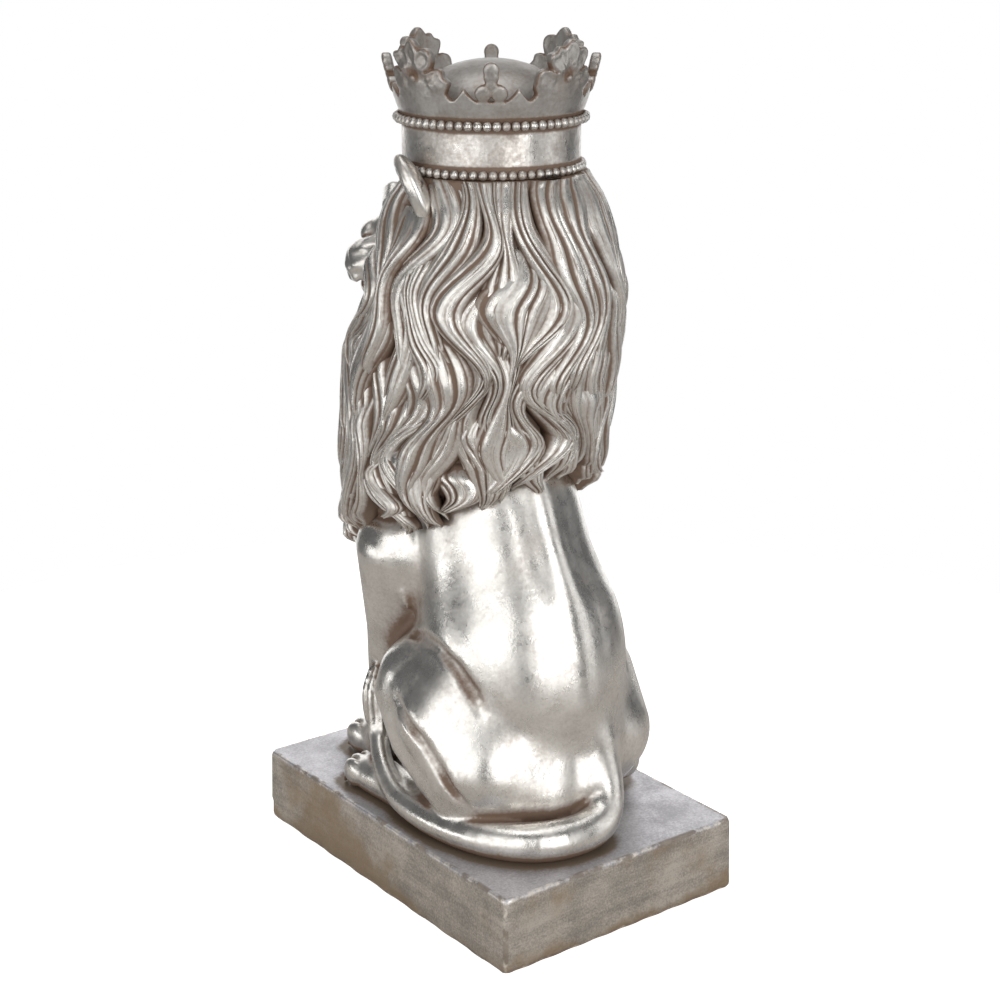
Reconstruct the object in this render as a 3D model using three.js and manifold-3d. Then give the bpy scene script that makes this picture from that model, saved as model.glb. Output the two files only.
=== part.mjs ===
// A seated lion with a long wavy mane, wearing an open crown, on a plain rectangular plinth.
// A silver-leafed cast figure in three pieces: plinth, lion and crown.
// Millimetres, +Z up. The lion faces -Y and its left side is +X. The origin is the centre of
// the plinth's underside.

import * as THREE from 'three';
import { mergeVertices } from 'three/addons/utils/BufferGeometryUtils.js';
import Module from 'manifold-3d';

// Driving dimensions

const PLINTH_WIDTH = 169;
const PLINTH_LENGTH = 248;
const PLINTH_HEIGHT = 45;
const PLINTH_CORNER = 3;
const PLINTH_ARRIS = 1.2;
const PLINTH_DRAFT = 1; // how far each side leans in from the foot to the top

const FIGURE_HEIGHT = 374; // plinth top to the flat seat of the crown
const HEAD_TURN = 8; // degrees, towards the lion's left

const BAND_RADIUS = 49.5;
const BAND_HEIGHT = 26; // between the two rows of beads
const BEAD_DIAMETER = 5.2;
const UPPER_BEADS = 64;
const LOWER_BEADS = 60;
const RIM_HEIGHT = 13; // from the upper beads to the notches between the leaves
const RIM_FLARE = 12; // how far the rim leans out by the tips of the leaves
const WALL = 4.6; // thickness of the rim and the leaves
const LEAF_COUNT = 4;
const LEAF_HEIGHT = 45; // from the upper beads to the tip of a leaf
const LEAF_FOOT = 29; // width of a leaf where it grows from the rim
const SPRIG_HEIGHT = 34; // from the upper beads to the tip of a sprig
const CUSP_HEIGHT = 19.5; // from the upper beads to the tip of a cusp
const CUSP_WIDTH = 11;
const CUSP_PLACE = 0.27; // radians from a sprig's middle
const CAP_RADIUS = 42;
const CAP_RISE = 31; // from the upper beads to the top of the cap
const CROWN_TRIANGLES = 3300;
const CLEARANCE = 0.3; // between the crown and the ears and locks beside it

// The figure is laid out on a lion that is NOMINAL high, and grows with FIGURE_HEIGHT.
const NOMINAL = 374;
const GROW = FIGURE_HEIGHT / NOMINAL;
const GRID_STEP = 3.1;
const LION_TRIANGLES = 6000;
const STOCK = 6; // left over the head and under the feet until they are cut flat

const wasm = await Module();
wasm.setup();

// Small helpers

const clamp = (v, low, high) => Math.min(high, Math.max(low, v));
const mix = (a, b, t) => a + (b - a) * t;
const ramp = (from, to, v) => {
  const t = clamp((v - from) / (to - from), 0, 1);
  return t * t * (3 - 2 * t);
};
const scatter = (a, b) => {
  const s = Math.sin(a * 127.1 + b * 311.7) * 43758.5453;
  return s - Math.floor(s);
};

// Reads a smooth value from a short table of [position, value] rows in rising order.
function along(table, v) {
  if (v <= table[0][0]) return table[0][1];
  for (let i = 1; i < table.length; i++) {
    if (v <= table[i][0]) {
      const [x0, y0] = table[i - 1];
      const [x1, y1] = table[i];
      return mix(y0, y1, ramp(x0, x1, v));
    }
  }
  return table[table.length - 1][1];
}

// Distance fields, negative inside

function blend(a, b, soft) {
  const h = Math.max(soft - Math.abs(a - b), 0) / soft;
  return Math.min(a, b) - h * h * soft * 0.25;
}

function carve(a, b, soft) {
  return -blend(-a, b, soft);
}

function ellipsoid(p, c, r) {
  const x = (p[0] - c[0]) / r[0];
  const y = (p[1] - c[1]) / r[1];
  const z = (p[2] - c[2]) / r[2];
  const k0 = Math.hypot(x, y, z);
  const k1 = Math.hypot(x / r[0], y / r[1], z / r[2]);
  return k1 < 1e-9 ? -Math.min(...r) : (k0 * (k0 - 1)) / k1;
}

// A limb through stations [x, y, z, radius], each joined to the next by a tapering round bar.
function limb(p, stations) {
  let d = Infinity;
  for (let i = 1; i < stations.length; i++) {
    const a = stations[i - 1];
    const b = stations[i];
    const ab = [b[0] - a[0], b[1] - a[1], b[2] - a[2]];
    const ap = [p[0] - a[0], p[1] - a[1], p[2] - a[2]];
    const t = clamp(
      (ap[0] * ab[0] + ap[1] * ab[1] + ap[2] * ab[2]) / (ab[0] ** 2 + ab[1] ** 2 + ab[2] ** 2), 0, 1);
    const gap = Math.hypot(ap[0] - ab[0] * t, ap[1] - ab[1] * t, ap[2] - ab[2] * t);
    d = Math.min(d, gap - mix(a[3], b[3], t));
  }
  return d;
}

// The body

function torso(p) {
  const seat = ellipsoid(p, [7, 48, 24], [50, 43, 34]);
  const rump = blend(ellipsoid(p, [0, 36, 46], [56, 52, 54]), seat, 12);
  const loin = ellipsoid(p, [0, 28, 106], [60, 58, 62]);
  const back = ellipsoid(p, [0, 4, 162], [51, 53, 62]);
  const chest = ellipsoid(p, [0, -30, 160], [41, 40, 62]);
  return blend(blend(rump, loin, 24), blend(back, chest, 20), 22);
}

const THIGH = [[43, 45, 42, 33], [50, 25, 66, 31], [54, -3, 84, 21]];
const SHIN = [[60, -6, 74, 17], [64, 10, 50, 14], [63, 30, 35, 13], [59, 50, 18, 12]];
const SHIN_FOLD = [
  [78, 10, 80, 1.4], [80, 24, 72, 2], [78, 40, 61, 2.2], [76, 49, 51, 2.2], [68, 63, 31, 2],
  [59, 71, 17, 1.6]];
const FLANK_FOLD = [
  [44, -15, 103, 2], [57, 10, 112, 1.6], [58, 28, 112, 2.2], [55, 45, 104, 2.6],
  [51, 55, 91, 3], [47, 62, 80, 2]];
const HIND_FOOT = [[60, 40, 10, 11], [60, 0, 8, 11], [60, -26, 9, 12]];
const FORELEG = [[41, -32, 152, 28], [38, -43, 98, 19], [33, -57, 60, 15], [31, -66, 24, 14]];
const FORE_PAW = [30, -82, 9];
const HIND_PAW = [60, -42, 8];

// Four toes side by side, each a knuckle and a pad, with the gaps between them.
function paw(p, centre, size) {
  let d = ellipsoid(p, [centre[0], centre[1] + 6 * size, centre[2] + 1], [14 * size, 19 * size, 13 * size]);
  for (let toe = 0; toe < 4; toe++) {
    const side = (toe - 1.5) * 7.2 * size;
    const reach = (Math.abs(toe - 1.5) < 1 ? -11 : -7) * size;
    const knuckle = ellipsoid(p,
      [centre[0] + side, centre[1] + reach + 2, centre[2] + 1.5], [4.6 * size, 10 * size, 9.5 * size]);
    d = blend(d, knuckle, 1.6);
  }
  return d;
}

function hindquarter(p) {
  const thigh = limb(p, THIGH);
  const shin = limb(p, SHIN);
  const foot = blend(limb(p, HIND_FOOT), paw(p, HIND_PAW, 0.92), 3);
  return blend(carve(blend(thigh, shin, 4), limb(p, SHIN_FOLD), 4), foot, 4);
}

function forequarter(p) {
  const leg = limb(p, FORELEG);
  const tuft = ellipsoid(p, [37, -22, 98], [7, 6, 15]);
  return blend(blend(leg, tuft, 4), paw(p, FORE_PAW, 1), 6);
}

// The tail leaves the rump, lies round the left haunch, crosses the foot and ends in a tuft
// that stands against the foreleg.
const TAIL_ROOT = [[-14, 66, 72, 11], [-14, 78, 50, 13], [-12, 86, 32, 12.5]];
const TAIL = [
  [-14, 74, 54, 12], [-13, 89, 30, 11.5], [-4, 98, 15, 11.5], [14, 101, 10.5, 11.5],
  [39, 94, 10, 11.5], [58, 72, 9.5, 10.5], [68, 39, 9, 9], [70, 6, 11, 7.5], [67, -14, 18, 6.6],
  [61, -30, 26, 6], [55, -40, 34, 6]];
const TUFT = [[55, -40, 34, 6], [53, -44, 46, 8], [52, -46, 60, 8], [50, -48, 76, 3.5]];

function tail(p) {
  const about = Math.atan2(p[1] + 45, p[0] - 52);
  const flutes = Math.cos(about * 7 + p[2] * 0.06) * 0.8;
  return blend(limb(p, TAIL), limb(p, TUFT) - flutes, 3);
}

// The head, in its own straight frame: x is mirrored, and the turn is taken off before.

function head(q) {
  const p = [Math.abs(q[0]), q[1], q[2]];
  let d = ellipsoid(p, [0, -14, 338], [46, 47, 45]);
  d = blend(d, ellipsoid(p, [25, -44, 317], [17, 20, 22]), 8);
  d = blend(d, limb(p, [[0, -48, 322, 25], [0, -76, 313, 20]]), 8);
  d = blend(d, limb(p, [[0, -46, 352, 12], [0, -68, 342, 11], [0, -91, 327, 9]]), 6);
  d = blend(d, limb(p, [[7, -57, 354, 6.5], [24, -54, 357, 6.5], [34, -46, 352, 5]]), 5);
  d = blend(d, limb(p, [[0, -46, 300, 20], [0, -76, 302, 12]]), 6);
  d = carve(d, ellipsoid(p, [20, -63, 343], [9, 8, 6.5]), 4);
  d = blend(d, ellipsoid(p, [19.5, -54.5, 343], [7, 6, 5.2]), 1.2);
  d = blend(d, ellipsoid(p, [15, -85, 312], [16, 15, 15]), 2.5);
  d = carve(d, limb(p, [[2, -99, 303, 1.7], [16, -94, 299, 2], [28, -80, 302, 2.2]]), 1.5);
  d = carve(d, limb(p, [[0, -100, 316, 1.5], [0, -99, 304, 1.5]]), 1.5);
  d = blend(d, ellipsoid(p, [0, -90, 297], [16, 12, 10]), 3);
  d = blend(d, ellipsoid(p, [0, -94, 327], [13, 9, 8.5]), 1.5);
  d = carve(d, ellipsoid(p, [5.5, -101, 321], [2.6, 3, 2]), 1);
  return d;
}

function ear(q) {
  const p = [Math.abs(q[0]), q[1], q[2]];
  const lean = (p[2] - 366) * 0.4;
  const out = 0.8 * (p[0] - 55) - 0.6 * (p[1] + 3) - lean;
  const wide = 0.6 * (p[0] - 55) + 0.8 * (p[1] + 3);
  const turned = [out, wide, p[2] - 366];
  const shell = ellipsoid(turned, [0, 0, 0], [6.5, 14, 20]);
  return carve(shell, ellipsoid(turned, [6, 0, 0], [6, 10, 15]), 2);
}

// The mane. Each height has a radius and a centre, and the hem falls from nape to breast.

const MANE_RADIUS = [
  [100, 58], [150, 66], [198, 70], [240, 73], [270, 74], [319, 72], [345, 66], [362, 59], [378, 51]];
const MANE_CENTRE = [[120, -26], [200, -21], [240, -15], [270, -8], [305, -1], [340, 0]];
const MANE_HEM = [
  [0, 201], [20, 198], [40, 188], [72, 175], [100, 163], [150, 128], [180, 108]];
const RELIEF = 7.5;
const LOCK_WIDTH = 23;
const LOCK_TIERS = 6;
const TIER_STEP = 41;
const LOCK_LENGTH = 92;
const WAVE_LENGTH = 94;
const WAVE_TOP = 334.5; // where the waves first cross their own line
const SWING = 0.24; // radians
const MANE_TOP = 384;
const COLUMNS = 20;
const PARTING = 0.52; // radians from the nape to the line where the waves part

// How far a strand that starts at an angle swings aside at a height.
function swing(angle, z) {
  const wave = Math.sin(((WAVE_TOP - z) / WAVE_LENGTH) * 2 * Math.PI);
  return SWING * Math.sin(3 * (angle - PARTING)) * wave;
}

// The angle at which the strand through a point left the crown.
function strandAngle(angle, z) {
  let start = angle;
  for (let i = 0; i < 7; i++) start = (start + angle - swing(start, z)) / 2;
  return start;
}

// Height of the locks over the mane's hollows, from 0 to 1.
function locks(angle, z) {
  const column = (strandAngle(angle, z) / (2 * Math.PI)) * COLUMNS;
  let high = 0;
  for (let tier = 0; tier < LOCK_TIERS; tier++) {
    const nearest = Math.round(column - 0.5 * (tier % 2));
    for (let step = -1; step <= 1; step++) {
      const number = (((nearest + step) % COLUMNS) + COLUMNS) % COLUMNS;
      const jitter = scatter(number, tier);
      const root = MANE_TOP + 18 - tier * TIER_STEP - 22 * jitter;
      const s = (root - z) / (LOCK_LENGTH * mix(0.85, 1.1, scatter(tier, number + 7)));
      if (s <= 0 || s >= 1) continue;
      const middle = nearest + step + 0.5 * (tier % 2) + 0.3 * (jitter - 0.5)
        + 0.22 * Math.sin(s * 5 + 6.28 * jitter);
      const half = 0.78 * Math.pow(s, 0.35) * Math.pow(1 - s, 0.55) * 1.35;
      const across = Math.abs((column - middle) / half);
      if (across >= 1) continue;
      const crest = mix(0.35, 1, ramp(0, 0.62, s)) * mix(1, 0.55, ramp(0.8, 1, s));
      high = Math.max(high, crest * Math.pow(1 - across * across, 0.6));
    }
  }
  return high;
}

function mane(p, face) {
  const z = p[2];
  const y = p[1] - along(MANE_CENTRE, z);
  const rho = Math.hypot(p[0], y);
  const fromNape = Math.atan2(p[0], y);
  const fromFace = Math.atan2(face[0], -face[1]);
  const hem = along(MANE_HEM, (Math.abs(fromNape) * 180) / Math.PI);
  const opening = ramp(1.12, 0.72, Math.abs(fromFace)) * ramp(292, 306, z);
  const beard = ramp(1.25, 0.5, Math.abs(fromFace)) * ramp(225, 280, z);
  const plain = along(MANE_RADIUS, z) - 24 * opening + 4 * beard;
  if (rho > plain + RELIEF + 6) return rho - plain - RELIEF + 3;
  if (rho < plain - 14) return Math.max(rho - plain, hem - z);
  const lock = locks(fromNape, z);
  const side = rho - (plain + RELIEF * (lock - 0.55) * (1 - 0.6 * opening));
  return carve(side * 0.9, z - hem + 7 * (lock - 0.5), 14);
}

function lion(p) {
  const mirrored = [Math.abs(p[0]), p[1], p[2]];
  const turn = THREE.MathUtils.degToRad(HEAD_TURN);
  const face = [
    p[0] * Math.cos(turn) + p[1] * Math.sin(turn),
    -p[0] * Math.sin(turn) + p[1] * Math.cos(turn), p[2]];
  let d = blend(torso(p), forequarter(mirrored), 9);
  d = blend(d, hindquarter(mirrored), 16);
  d = carve(d, limb(mirrored, FLANK_FOLD), 9);
  d = blend(d, limb(p, TAIL_ROOT), 12);
  d = blend(d, tail(p), 2.5);
  if (p[2] < 80) return d;
  d = blend(d, mane(p, face), 2);
  if (p[2] < 260) return d;
  d = blend(blend(d, head(face), 3), ear(face), 2);
  return Math.max(d, p[2] - NOMINAL - STOCK);
}

// Meshing: a surface net over a regular grid, then edges collapsed where the form is flat.

function surfaceNet(field, low, high, step) {
  const size = [0, 1, 2].map((i) => Math.ceil((high[i] - low[i]) / step) + 1);
  const [nx, ny, nz] = size;
  const values = new Float64Array(nx * ny * nz);
  const at = (i, j, k) => (k * ny + j) * nx + i;
  for (let k = 0; k < nz; k++) {
    for (let j = 0; j < ny; j++) {
      for (let i = 0; i < nx; i++) {
        values[at(i, j, k)] = field([low[0] + i * step, low[1] + j * step, low[2] + k * step]);
      }
    }
  }
  const ids = new Int32Array(nx * ny * nz).fill(-1);
  const points = [];
  const corners = [0, 1, 2, 3, 4, 5, 6, 7].map((c) => [c & 1, (c >> 1) & 1, (c >> 2) & 1]);
  const edges = [];
  for (let a = 0; a < 8; a++) {
    for (let bit = 1; bit < 8; bit <<= 1) if (!(a & bit)) edges.push([a, a | bit]);
  }
  // A cell is sound when its inner corners hang together, and its outer corners too.
  const together = (wanted, mask) => {
    const members = [0, 1, 2, 3, 4, 5, 6, 7].filter((c) => ((mask >> c) & 1) === wanted);
    const reached = new Set(members.slice(0, 1));
    for (const c of reached) {
      for (const m of members) if ([1, 2, 4].includes(c ^ m)) reached.add(m);
    }
    return reached.size === members.length;
  };
  const sound = Array.from({ length: 256 }, (_, mask) => together(0, mask) && together(1, mask));
  const offsets = corners.map(([a, b, c]) => at(a, b, c));
  let mended = true;
  while (mended) {
    mended = false;
    for (let k = 0; k < nz - 1; k++) {
      for (let j = 0; j < ny - 1; j++) {
        for (let i = 0; i < nx - 1; i++) {
          const cell = at(i, j, k);
          let mask = 0;
          for (let c = 0; c < 8; c++) if (values[cell + offsets[c]] < 0) mask |= 1 << c;
          if (sound[mask]) continue;
          let least = cell + offsets[0];
          for (const o of offsets) {
            const outside = values[cell + o] >= 0;
            if (outside && (values[least] < 0 || values[cell + o] < values[least])) least = cell + o;
          }
          values[least] = -0.02 * step;
          mended = true;
        }
      }
    }
  }
  for (let k = 0; k < nz - 1; k++) {
    for (let j = 0; j < ny - 1; j++) {
      for (let i = 0; i < nx - 1; i++) {
        const v = corners.map(([a, b, c]) => values[at(i + a, j + b, k + c)]);
        const sum = [0, 0, 0];
        let crossings = 0;
        for (const [a, b] of edges) {
          if (v[a] < 0 === v[b] < 0) continue;
          const t = v[a] / (v[a] - v[b]);
          for (let n = 0; n < 3; n++) sum[n] += mix(corners[a][n], corners[b][n], t);
          crossings++;
        }
        if (!crossings) continue;
        ids[at(i, j, k)] = points.length / 3;
        points.push(
          low[0] + (i + sum[0] / crossings) * step,
          low[1] + (j + sum[1] / crossings) * step,
          low[2] + (k + sum[2] / crossings) * step);
      }
    }
  }
  const faces = [];
  const quad = (a, b, c, d, flip) => {
    if (flip) faces.push(a, c, b, a, d, c);
    else faces.push(a, b, c, a, c, d);
  };
  for (let k = 1; k < nz - 1; k++) {
    for (let j = 1; j < ny - 1; j++) {
      for (let i = 1; i < nx - 1; i++) {
        const here = values[at(i, j, k)] < 0;
        if (here !== values[at(i + 1, j, k)] < 0) {
          quad(ids[at(i, j - 1, k - 1)], ids[at(i, j, k - 1)], ids[at(i, j, k)], ids[at(i, j - 1, k)], !here);
        }
        if (here !== values[at(i, j + 1, k)] < 0) {
          quad(ids[at(i - 1, j, k - 1)], ids[at(i - 1, j, k)], ids[at(i, j, k)], ids[at(i, j, k - 1)], !here);
        }
        if (here !== values[at(i, j, k + 1)] < 0) {
          quad(ids[at(i - 1, j - 1, k)], ids[at(i, j - 1, k)], ids[at(i, j, k)], ids[at(i - 1, j, k)], !here);
        }
      }
    }
  }
  return { points: Float64Array.from(points), faces: Int32Array.from(faces) };
}

// Adds the squared-distance form of one triangle's plane to a ten-number quadric.
function addPlane(q, o, n, d, weight) {
  const [a, b, c] = n;
  const terms = [a * a, a * b, a * c, a * d, b * b, b * c, b * d, c * c, c * d, d * d];
  for (let i = 0; i < 10; i++) q[o + i] += terms[i] * weight;
}

function quadricCost(q, i, j, p) {
  const s = (n) => q[i * 10 + n] + q[j * 10 + n];
  const [x, y, z] = p;
  return s(0) * x * x + 2 * s(1) * x * y + 2 * s(2) * x * z + 2 * s(3) * x + s(4) * y * y
    + 2 * s(5) * y * z + 2 * s(6) * y + s(7) * z * z + 2 * s(8) * z + s(9);
}

// Collapses edges, cheapest first, until few enough triangles are left. The body stays closed.
function simplify(mesh, wanted) {
  const { points, faces } = mesh;
  const count = points.length / 3;
  const around = Array.from({ length: count }, () => new Set());
  const quadrics = new Float64Array(count * 10);
  const alive = new Uint8Array(faces.length / 3).fill(1);
  const point = (i) => [points[i * 3], points[i * 3 + 1], points[i * 3 + 2]];
  const cross = (a, b, c) => {
    const u = [b[0] - a[0], b[1] - a[1], b[2] - a[2]];
    const v = [c[0] - a[0], c[1] - a[1], c[2] - a[2]];
    return [u[1] * v[2] - u[2] * v[1], u[2] * v[0] - u[0] * v[2], u[0] * v[1] - u[1] * v[0]];
  };
  for (let f = 0; f < alive.length; f++) {
    const [a, b, c] = [faces[f * 3], faces[f * 3 + 1], faces[f * 3 + 2]];
    const n = cross(point(a), point(b), point(c));
    const area = Math.hypot(...n) || 1e-12;
    const unit = n.map((v) => v / area);
    const d = -(unit[0] * points[a * 3] + unit[1] * points[a * 3 + 1] + unit[2] * points[a * 3 + 2]);
    for (const v of [a, b, c]) {
      around[v].add(f);
      addPlane(quadrics, v * 10, unit, d, area);
    }
  }
  const neighbours = (v) => {
    const found = new Set();
    for (const f of around[v]) for (let n = 0; n < 3; n++) found.add(faces[f * 3 + n]);
    found.delete(v);
    return found;
  };
  const stamp = new Int32Array(count);
  const heap = [];
  const push = (item) => {
    let i = heap.push(item) - 1;
    while (i > 0) {
      const up = (i - 1) >> 1;
      if (heap[up].cost <= heap[i].cost) break;
      [heap[up], heap[i]] = [heap[i], heap[up]];
      i = up;
    }
  };
  const pop = () => {
    const top = heap[0];
    const last = heap.pop();
    if (heap.length) {
      heap[0] = last;
      for (let i = 0; ;) {
        let least = i;
        for (const n of [2 * i + 1, 2 * i + 2]) {
          if (n < heap.length && heap[n].cost < heap[least].cost) least = n;
        }
        if (least === i) break;
        [heap[least], heap[i]] = [heap[i], heap[least]];
        i = least;
      }
    }
    return top;
  };
  const offer = (a, b) => {
    const pa = point(a);
    const pb = point(b);
    const middle = pa.map((v, n) => (v + pb[n]) / 2);
    let best = null;
    for (const p of [middle, pa, pb]) {
      const cost = quadricCost(quadrics, a, b, p);
      if (!best || cost < best.cost) best = { cost, p };
    }
    const length = Math.hypot(pa[0] - pb[0], pa[1] - pb[1], pa[2] - pb[2]);
    push({ cost: best.cost + 1e-4 * length, p: best.p, a, b, age: stamp[a] + stamp[b] });
  };
  for (let v = 0; v < count; v++) for (const w of neighbours(v)) if (v < w) offer(v, w);
  const folds = (v, other, p) => {
    for (const f of around[v]) {
      const t = [faces[f * 3], faces[f * 3 + 1], faces[f * 3 + 2]];
      if (t.includes(other)) continue;
      const before = cross(point(t[0]), point(t[1]), point(t[2]));
      const moved = t.map((n) => (n === v ? p : point(n)));
      const after = cross(...moved);
      const dot = before[0] * after[0] + before[1] * after[1] + before[2] * after[2];
      if (dot < 0.35 * Math.hypot(...before) * Math.hypot(...after)) return true;
      if (Math.hypot(...after) < 1e-3) return true;
    }
    return false;
  };
  let left = alive.length;
  while (left > wanted && heap.length) {
    const { p, a, b, age } = pop();
    if (!around[a].size || !around[b].size || age !== stamp[a] + stamp[b]) continue;
    const nearA = neighbours(a);
    if (!nearA.has(b)) continue;
    const shared = [...neighbours(b)].filter((v) => nearA.has(v));
    if (shared.length !== 2 || folds(a, b, p) || folds(b, a, p)) continue;
    for (const f of [...around[b]]) {
      const t = [faces[f * 3], faces[f * 3 + 1], faces[f * 3 + 2]];
      if (t.includes(a)) {
        alive[f] = 0;
        left--;
        for (const v of t) around[v].delete(f);
      } else {
        faces[f * 3 + t.indexOf(b)] = a;
        around[a].add(f);
      }
    }
    around[b].clear();
    points.set(p, a * 3);
    for (let i = 0; i < 10; i++) quadrics[a * 10 + i] += quadrics[b * 10 + i];
    stamp[a]++;
    for (const v of neighbours(a)) {
      stamp[v]++;
    }
    for (const v of neighbours(a)) {
      offer(a, v);
      for (const w of neighbours(v)) if (w !== a) offer(v, w);
    }
  }
  const kept = [];
  for (let f = 0; f < alive.length; f++) {
    if (alive[f]) kept.push(faces[f * 3], faces[f * 3 + 1], faces[f * 3 + 2]);
  }
  return { points, faces: Int32Array.from(kept) };
}

// Solids and joins

function bufferOf(points, faces) {
  const geometry = new THREE.BufferGeometry();
  geometry.setAttribute('position', new THREE.BufferAttribute(Float32Array.from(points), 3));
  geometry.setIndex([...faces]);
  return geometry;
}

function solidOf(geometry) {
  const plain = geometry.clone();
  for (const name of ['normal', 'uv']) plain.deleteAttribute(name);
  const merged = mergeVertices(plain, 1e-4);
  return new wasm.Manifold(new wasm.Mesh({
    numProp: 3,
    vertProperties: Float32Array.from(merged.attributes.position.array),
    triVerts: Uint32Array.from(merged.index.array),
  }));
}

function geometryOf(solid) {
  const mesh = solid.getMesh();
  return bufferOf(mesh.vertProperties, mesh.triVerts);
}

function cylinder(radius, low, high, sides) {
  return new THREE.CylinderGeometry(radius, radius, high - low, sides)
    .rotateX(Math.PI / 2).translate(0, 0, (low + high) / 2);
}

function lathe(profile, sides) {
  const points = profile.map(([r, z]) => new THREE.Vector2(r, z));
  return new THREE.LatheGeometry(points, sides).rotateX(Math.PI / 2);
}

// Plinth: a slab with eased upright corners and softened arrises.
function makePlinth() {
  const shape = new THREE.Shape();
  const inset = PLINTH_ARRIS;
  const w = PLINTH_WIDTH / 2 - inset;
  const l = PLINTH_LENGTH / 2 - inset;
  const r = PLINTH_CORNER;
  shape.moveTo(-w + r, -l);
  shape.lineTo(w - r, -l);
  shape.absarc(w - r, -l + r, r, -Math.PI / 2, 0);
  shape.lineTo(w, l - r);
  shape.absarc(w - r, l - r, r, 0, Math.PI / 2);
  shape.lineTo(-w + r, l);
  shape.absarc(-w + r, l - r, r, Math.PI / 2, Math.PI);
  shape.lineTo(-w, -l + r);
  shape.absarc(-w + r, -l + r, r, Math.PI, Math.PI * 1.5);
  const slab = new THREE.ExtrudeGeometry(shape, {
    depth: PLINTH_HEIGHT - 2 * inset,
    bevelSize: inset,
    bevelThickness: inset,
    bevelSegments: 2,
    curveSegments: 3,
  }).translate(0, 0, inset);
  const places = slab.attributes.position;
  for (let i = 0; i < places.count; i++) {
    const lean = PLINTH_DRAFT * (places.getZ(i) / PLINTH_HEIGHT);
    places.setX(i, places.getX(i) - Math.sign(places.getX(i)) * lean);
    places.setY(i, places.getY(i) - Math.sign(places.getY(i)) * lean);
  }
  return slab;
}

// Heights of the crown, from its flat foot
const SEAT = PLINTH_HEIGHT + FIGURE_HEIGHT;
const LOWER_ROW = BEAD_DIAMETER / 2;
const UPPER_ROW = LOWER_ROW + BAND_HEIGHT;
const RIM_STEPS = 144;

// Radius of the rim's outer face at a height over the crown's foot.
function rimRadius(z) {
  const t = clamp((z - UPPER_ROW) / LEAF_HEIGHT, 0, 1);
  return BAND_RADIUS + RIM_FLARE * t * (1.5 - 0.5 * t);
}

// A ring of touching beads, two facets round each.
function beadRow(count, radius, height) {
  const around = 5;
  const points = [];
  const faces = [];
  const steps = count * 2;
  for (let i = 0; i < steps; i++) {
    const angle = (i / steps) * 2 * Math.PI;
    const bead = (BEAD_DIAMETER / 2) * (i % 2 ? 0.55 : 1);
    for (let j = 0; j < around; j++) {
      const turn = (j / around) * 2 * Math.PI;
      const out = radius + bead * Math.cos(turn);
      points.push(out * Math.cos(angle), out * Math.sin(angle), height + bead * Math.sin(turn));
      const a = i * around + j;
      const b = i * around + ((j + 1) % around);
      const c = ((i + 1) % steps) * around + j;
      const d = ((i + 1) % steps) * around + ((j + 1) % around);
      faces.push(a, c, d, a, d, b);
    }
  }
  return bufferOf(points, faces);
}

// A plate bent round the flaring rim: rings of points from a middle out to an outline.
// The outline gives the reach [across, up] in each direction.
function bentPlate(outline, sides, rings, middle, low, thick, boss) {
  const points = [];
  const faces = [];
  const place = (across, up, depth) => {
    const r = rimRadius(up);
    const angle = middle + across / r;
    points.push((r - depth) * Math.cos(angle), (r - depth) * Math.sin(angle), up);
  };
  for (const depth of [0, thick]) {
    place(0, low, depth - (depth ? 0 : boss));
    for (let ring = 1; ring <= rings; ring++) {
      for (let i = 0; i < sides; i++) {
        const [x, y] = outline((i / sides) * 2 * Math.PI);
        const t = ring / rings;
        place(x * t, low + y * t, depth - (depth ? 0 : boss * (1 - t) * (1 - t)));
      }
    }
  }
  const layer = 1 + sides * rings;
  for (let i = 0; i < sides; i++) {
    const n = (i + 1) % sides;
    faces.push(0, 1 + i, 1 + n, layer, layer + 1 + n, layer + 1 + i);
    for (let ring = 0; ring < rings - 1; ring++) {
      const a = 1 + ring * sides;
      const b = a + sides;
      faces.push(a + i, b + i, b + n, a + i, b + n, a + n);
      faces.push(layer + a + i, layer + b + n, layer + b + i, layer + a + i, layer + a + n, layer + b + n);
    }
    const rim = 1 + (rings - 1) * sides;
    faces.push(rim + i, layer + rim + i, layer + rim + n, rim + i, layer + rim + n, rim + n);
  }
  return bufferOf(points, faces);
}

// How far a ray from the middle of some discs [across, up, radius] reaches before it leaves them.
function lobes(discs, crinkle) {
  return (turn) => {
    const [dx, dy] = [Math.cos(turn), Math.sin(turn)];
    let reach = 0;
    for (const [across, up, radius] of discs) {
      const near = across * dx + up * dy;
      const inside = radius * radius - across * across - up * up + near * near;
      if (inside > 0) reach = Math.max(reach, near + Math.sqrt(inside));
    }
    reach *= 1 + crinkle * Math.cos(turn * 14);
    return [reach * dx, reach * dy];
  };
}

// Discs are given about a middle, whose height over the upper beads comes with each plate.
const LEAF_MIDDLE = 26;
const LEAF_DISCS = [
  [0, LEAF_HEIGHT - LEAF_MIDDLE - 8, 8], [6.5, 8, 7.4], [-6.5, 8, 7.4], [12.6, -4.5, 7.2],
  [-12.6, -4.5, 7.2], [0, -9, 13.5]];
const SPRIG_MIDDLE = 22;
const SPRIG_DISCS = [
  [0, SPRIG_HEIGHT - SPRIG_MIDDLE - 4.2, 4.2], [0, 4.5, 3.6], [0, 1, 3], [4.2, -3.5, 4.4],
  [-4.2, -3.5, 4.4], [0, -6, 5]];

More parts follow.
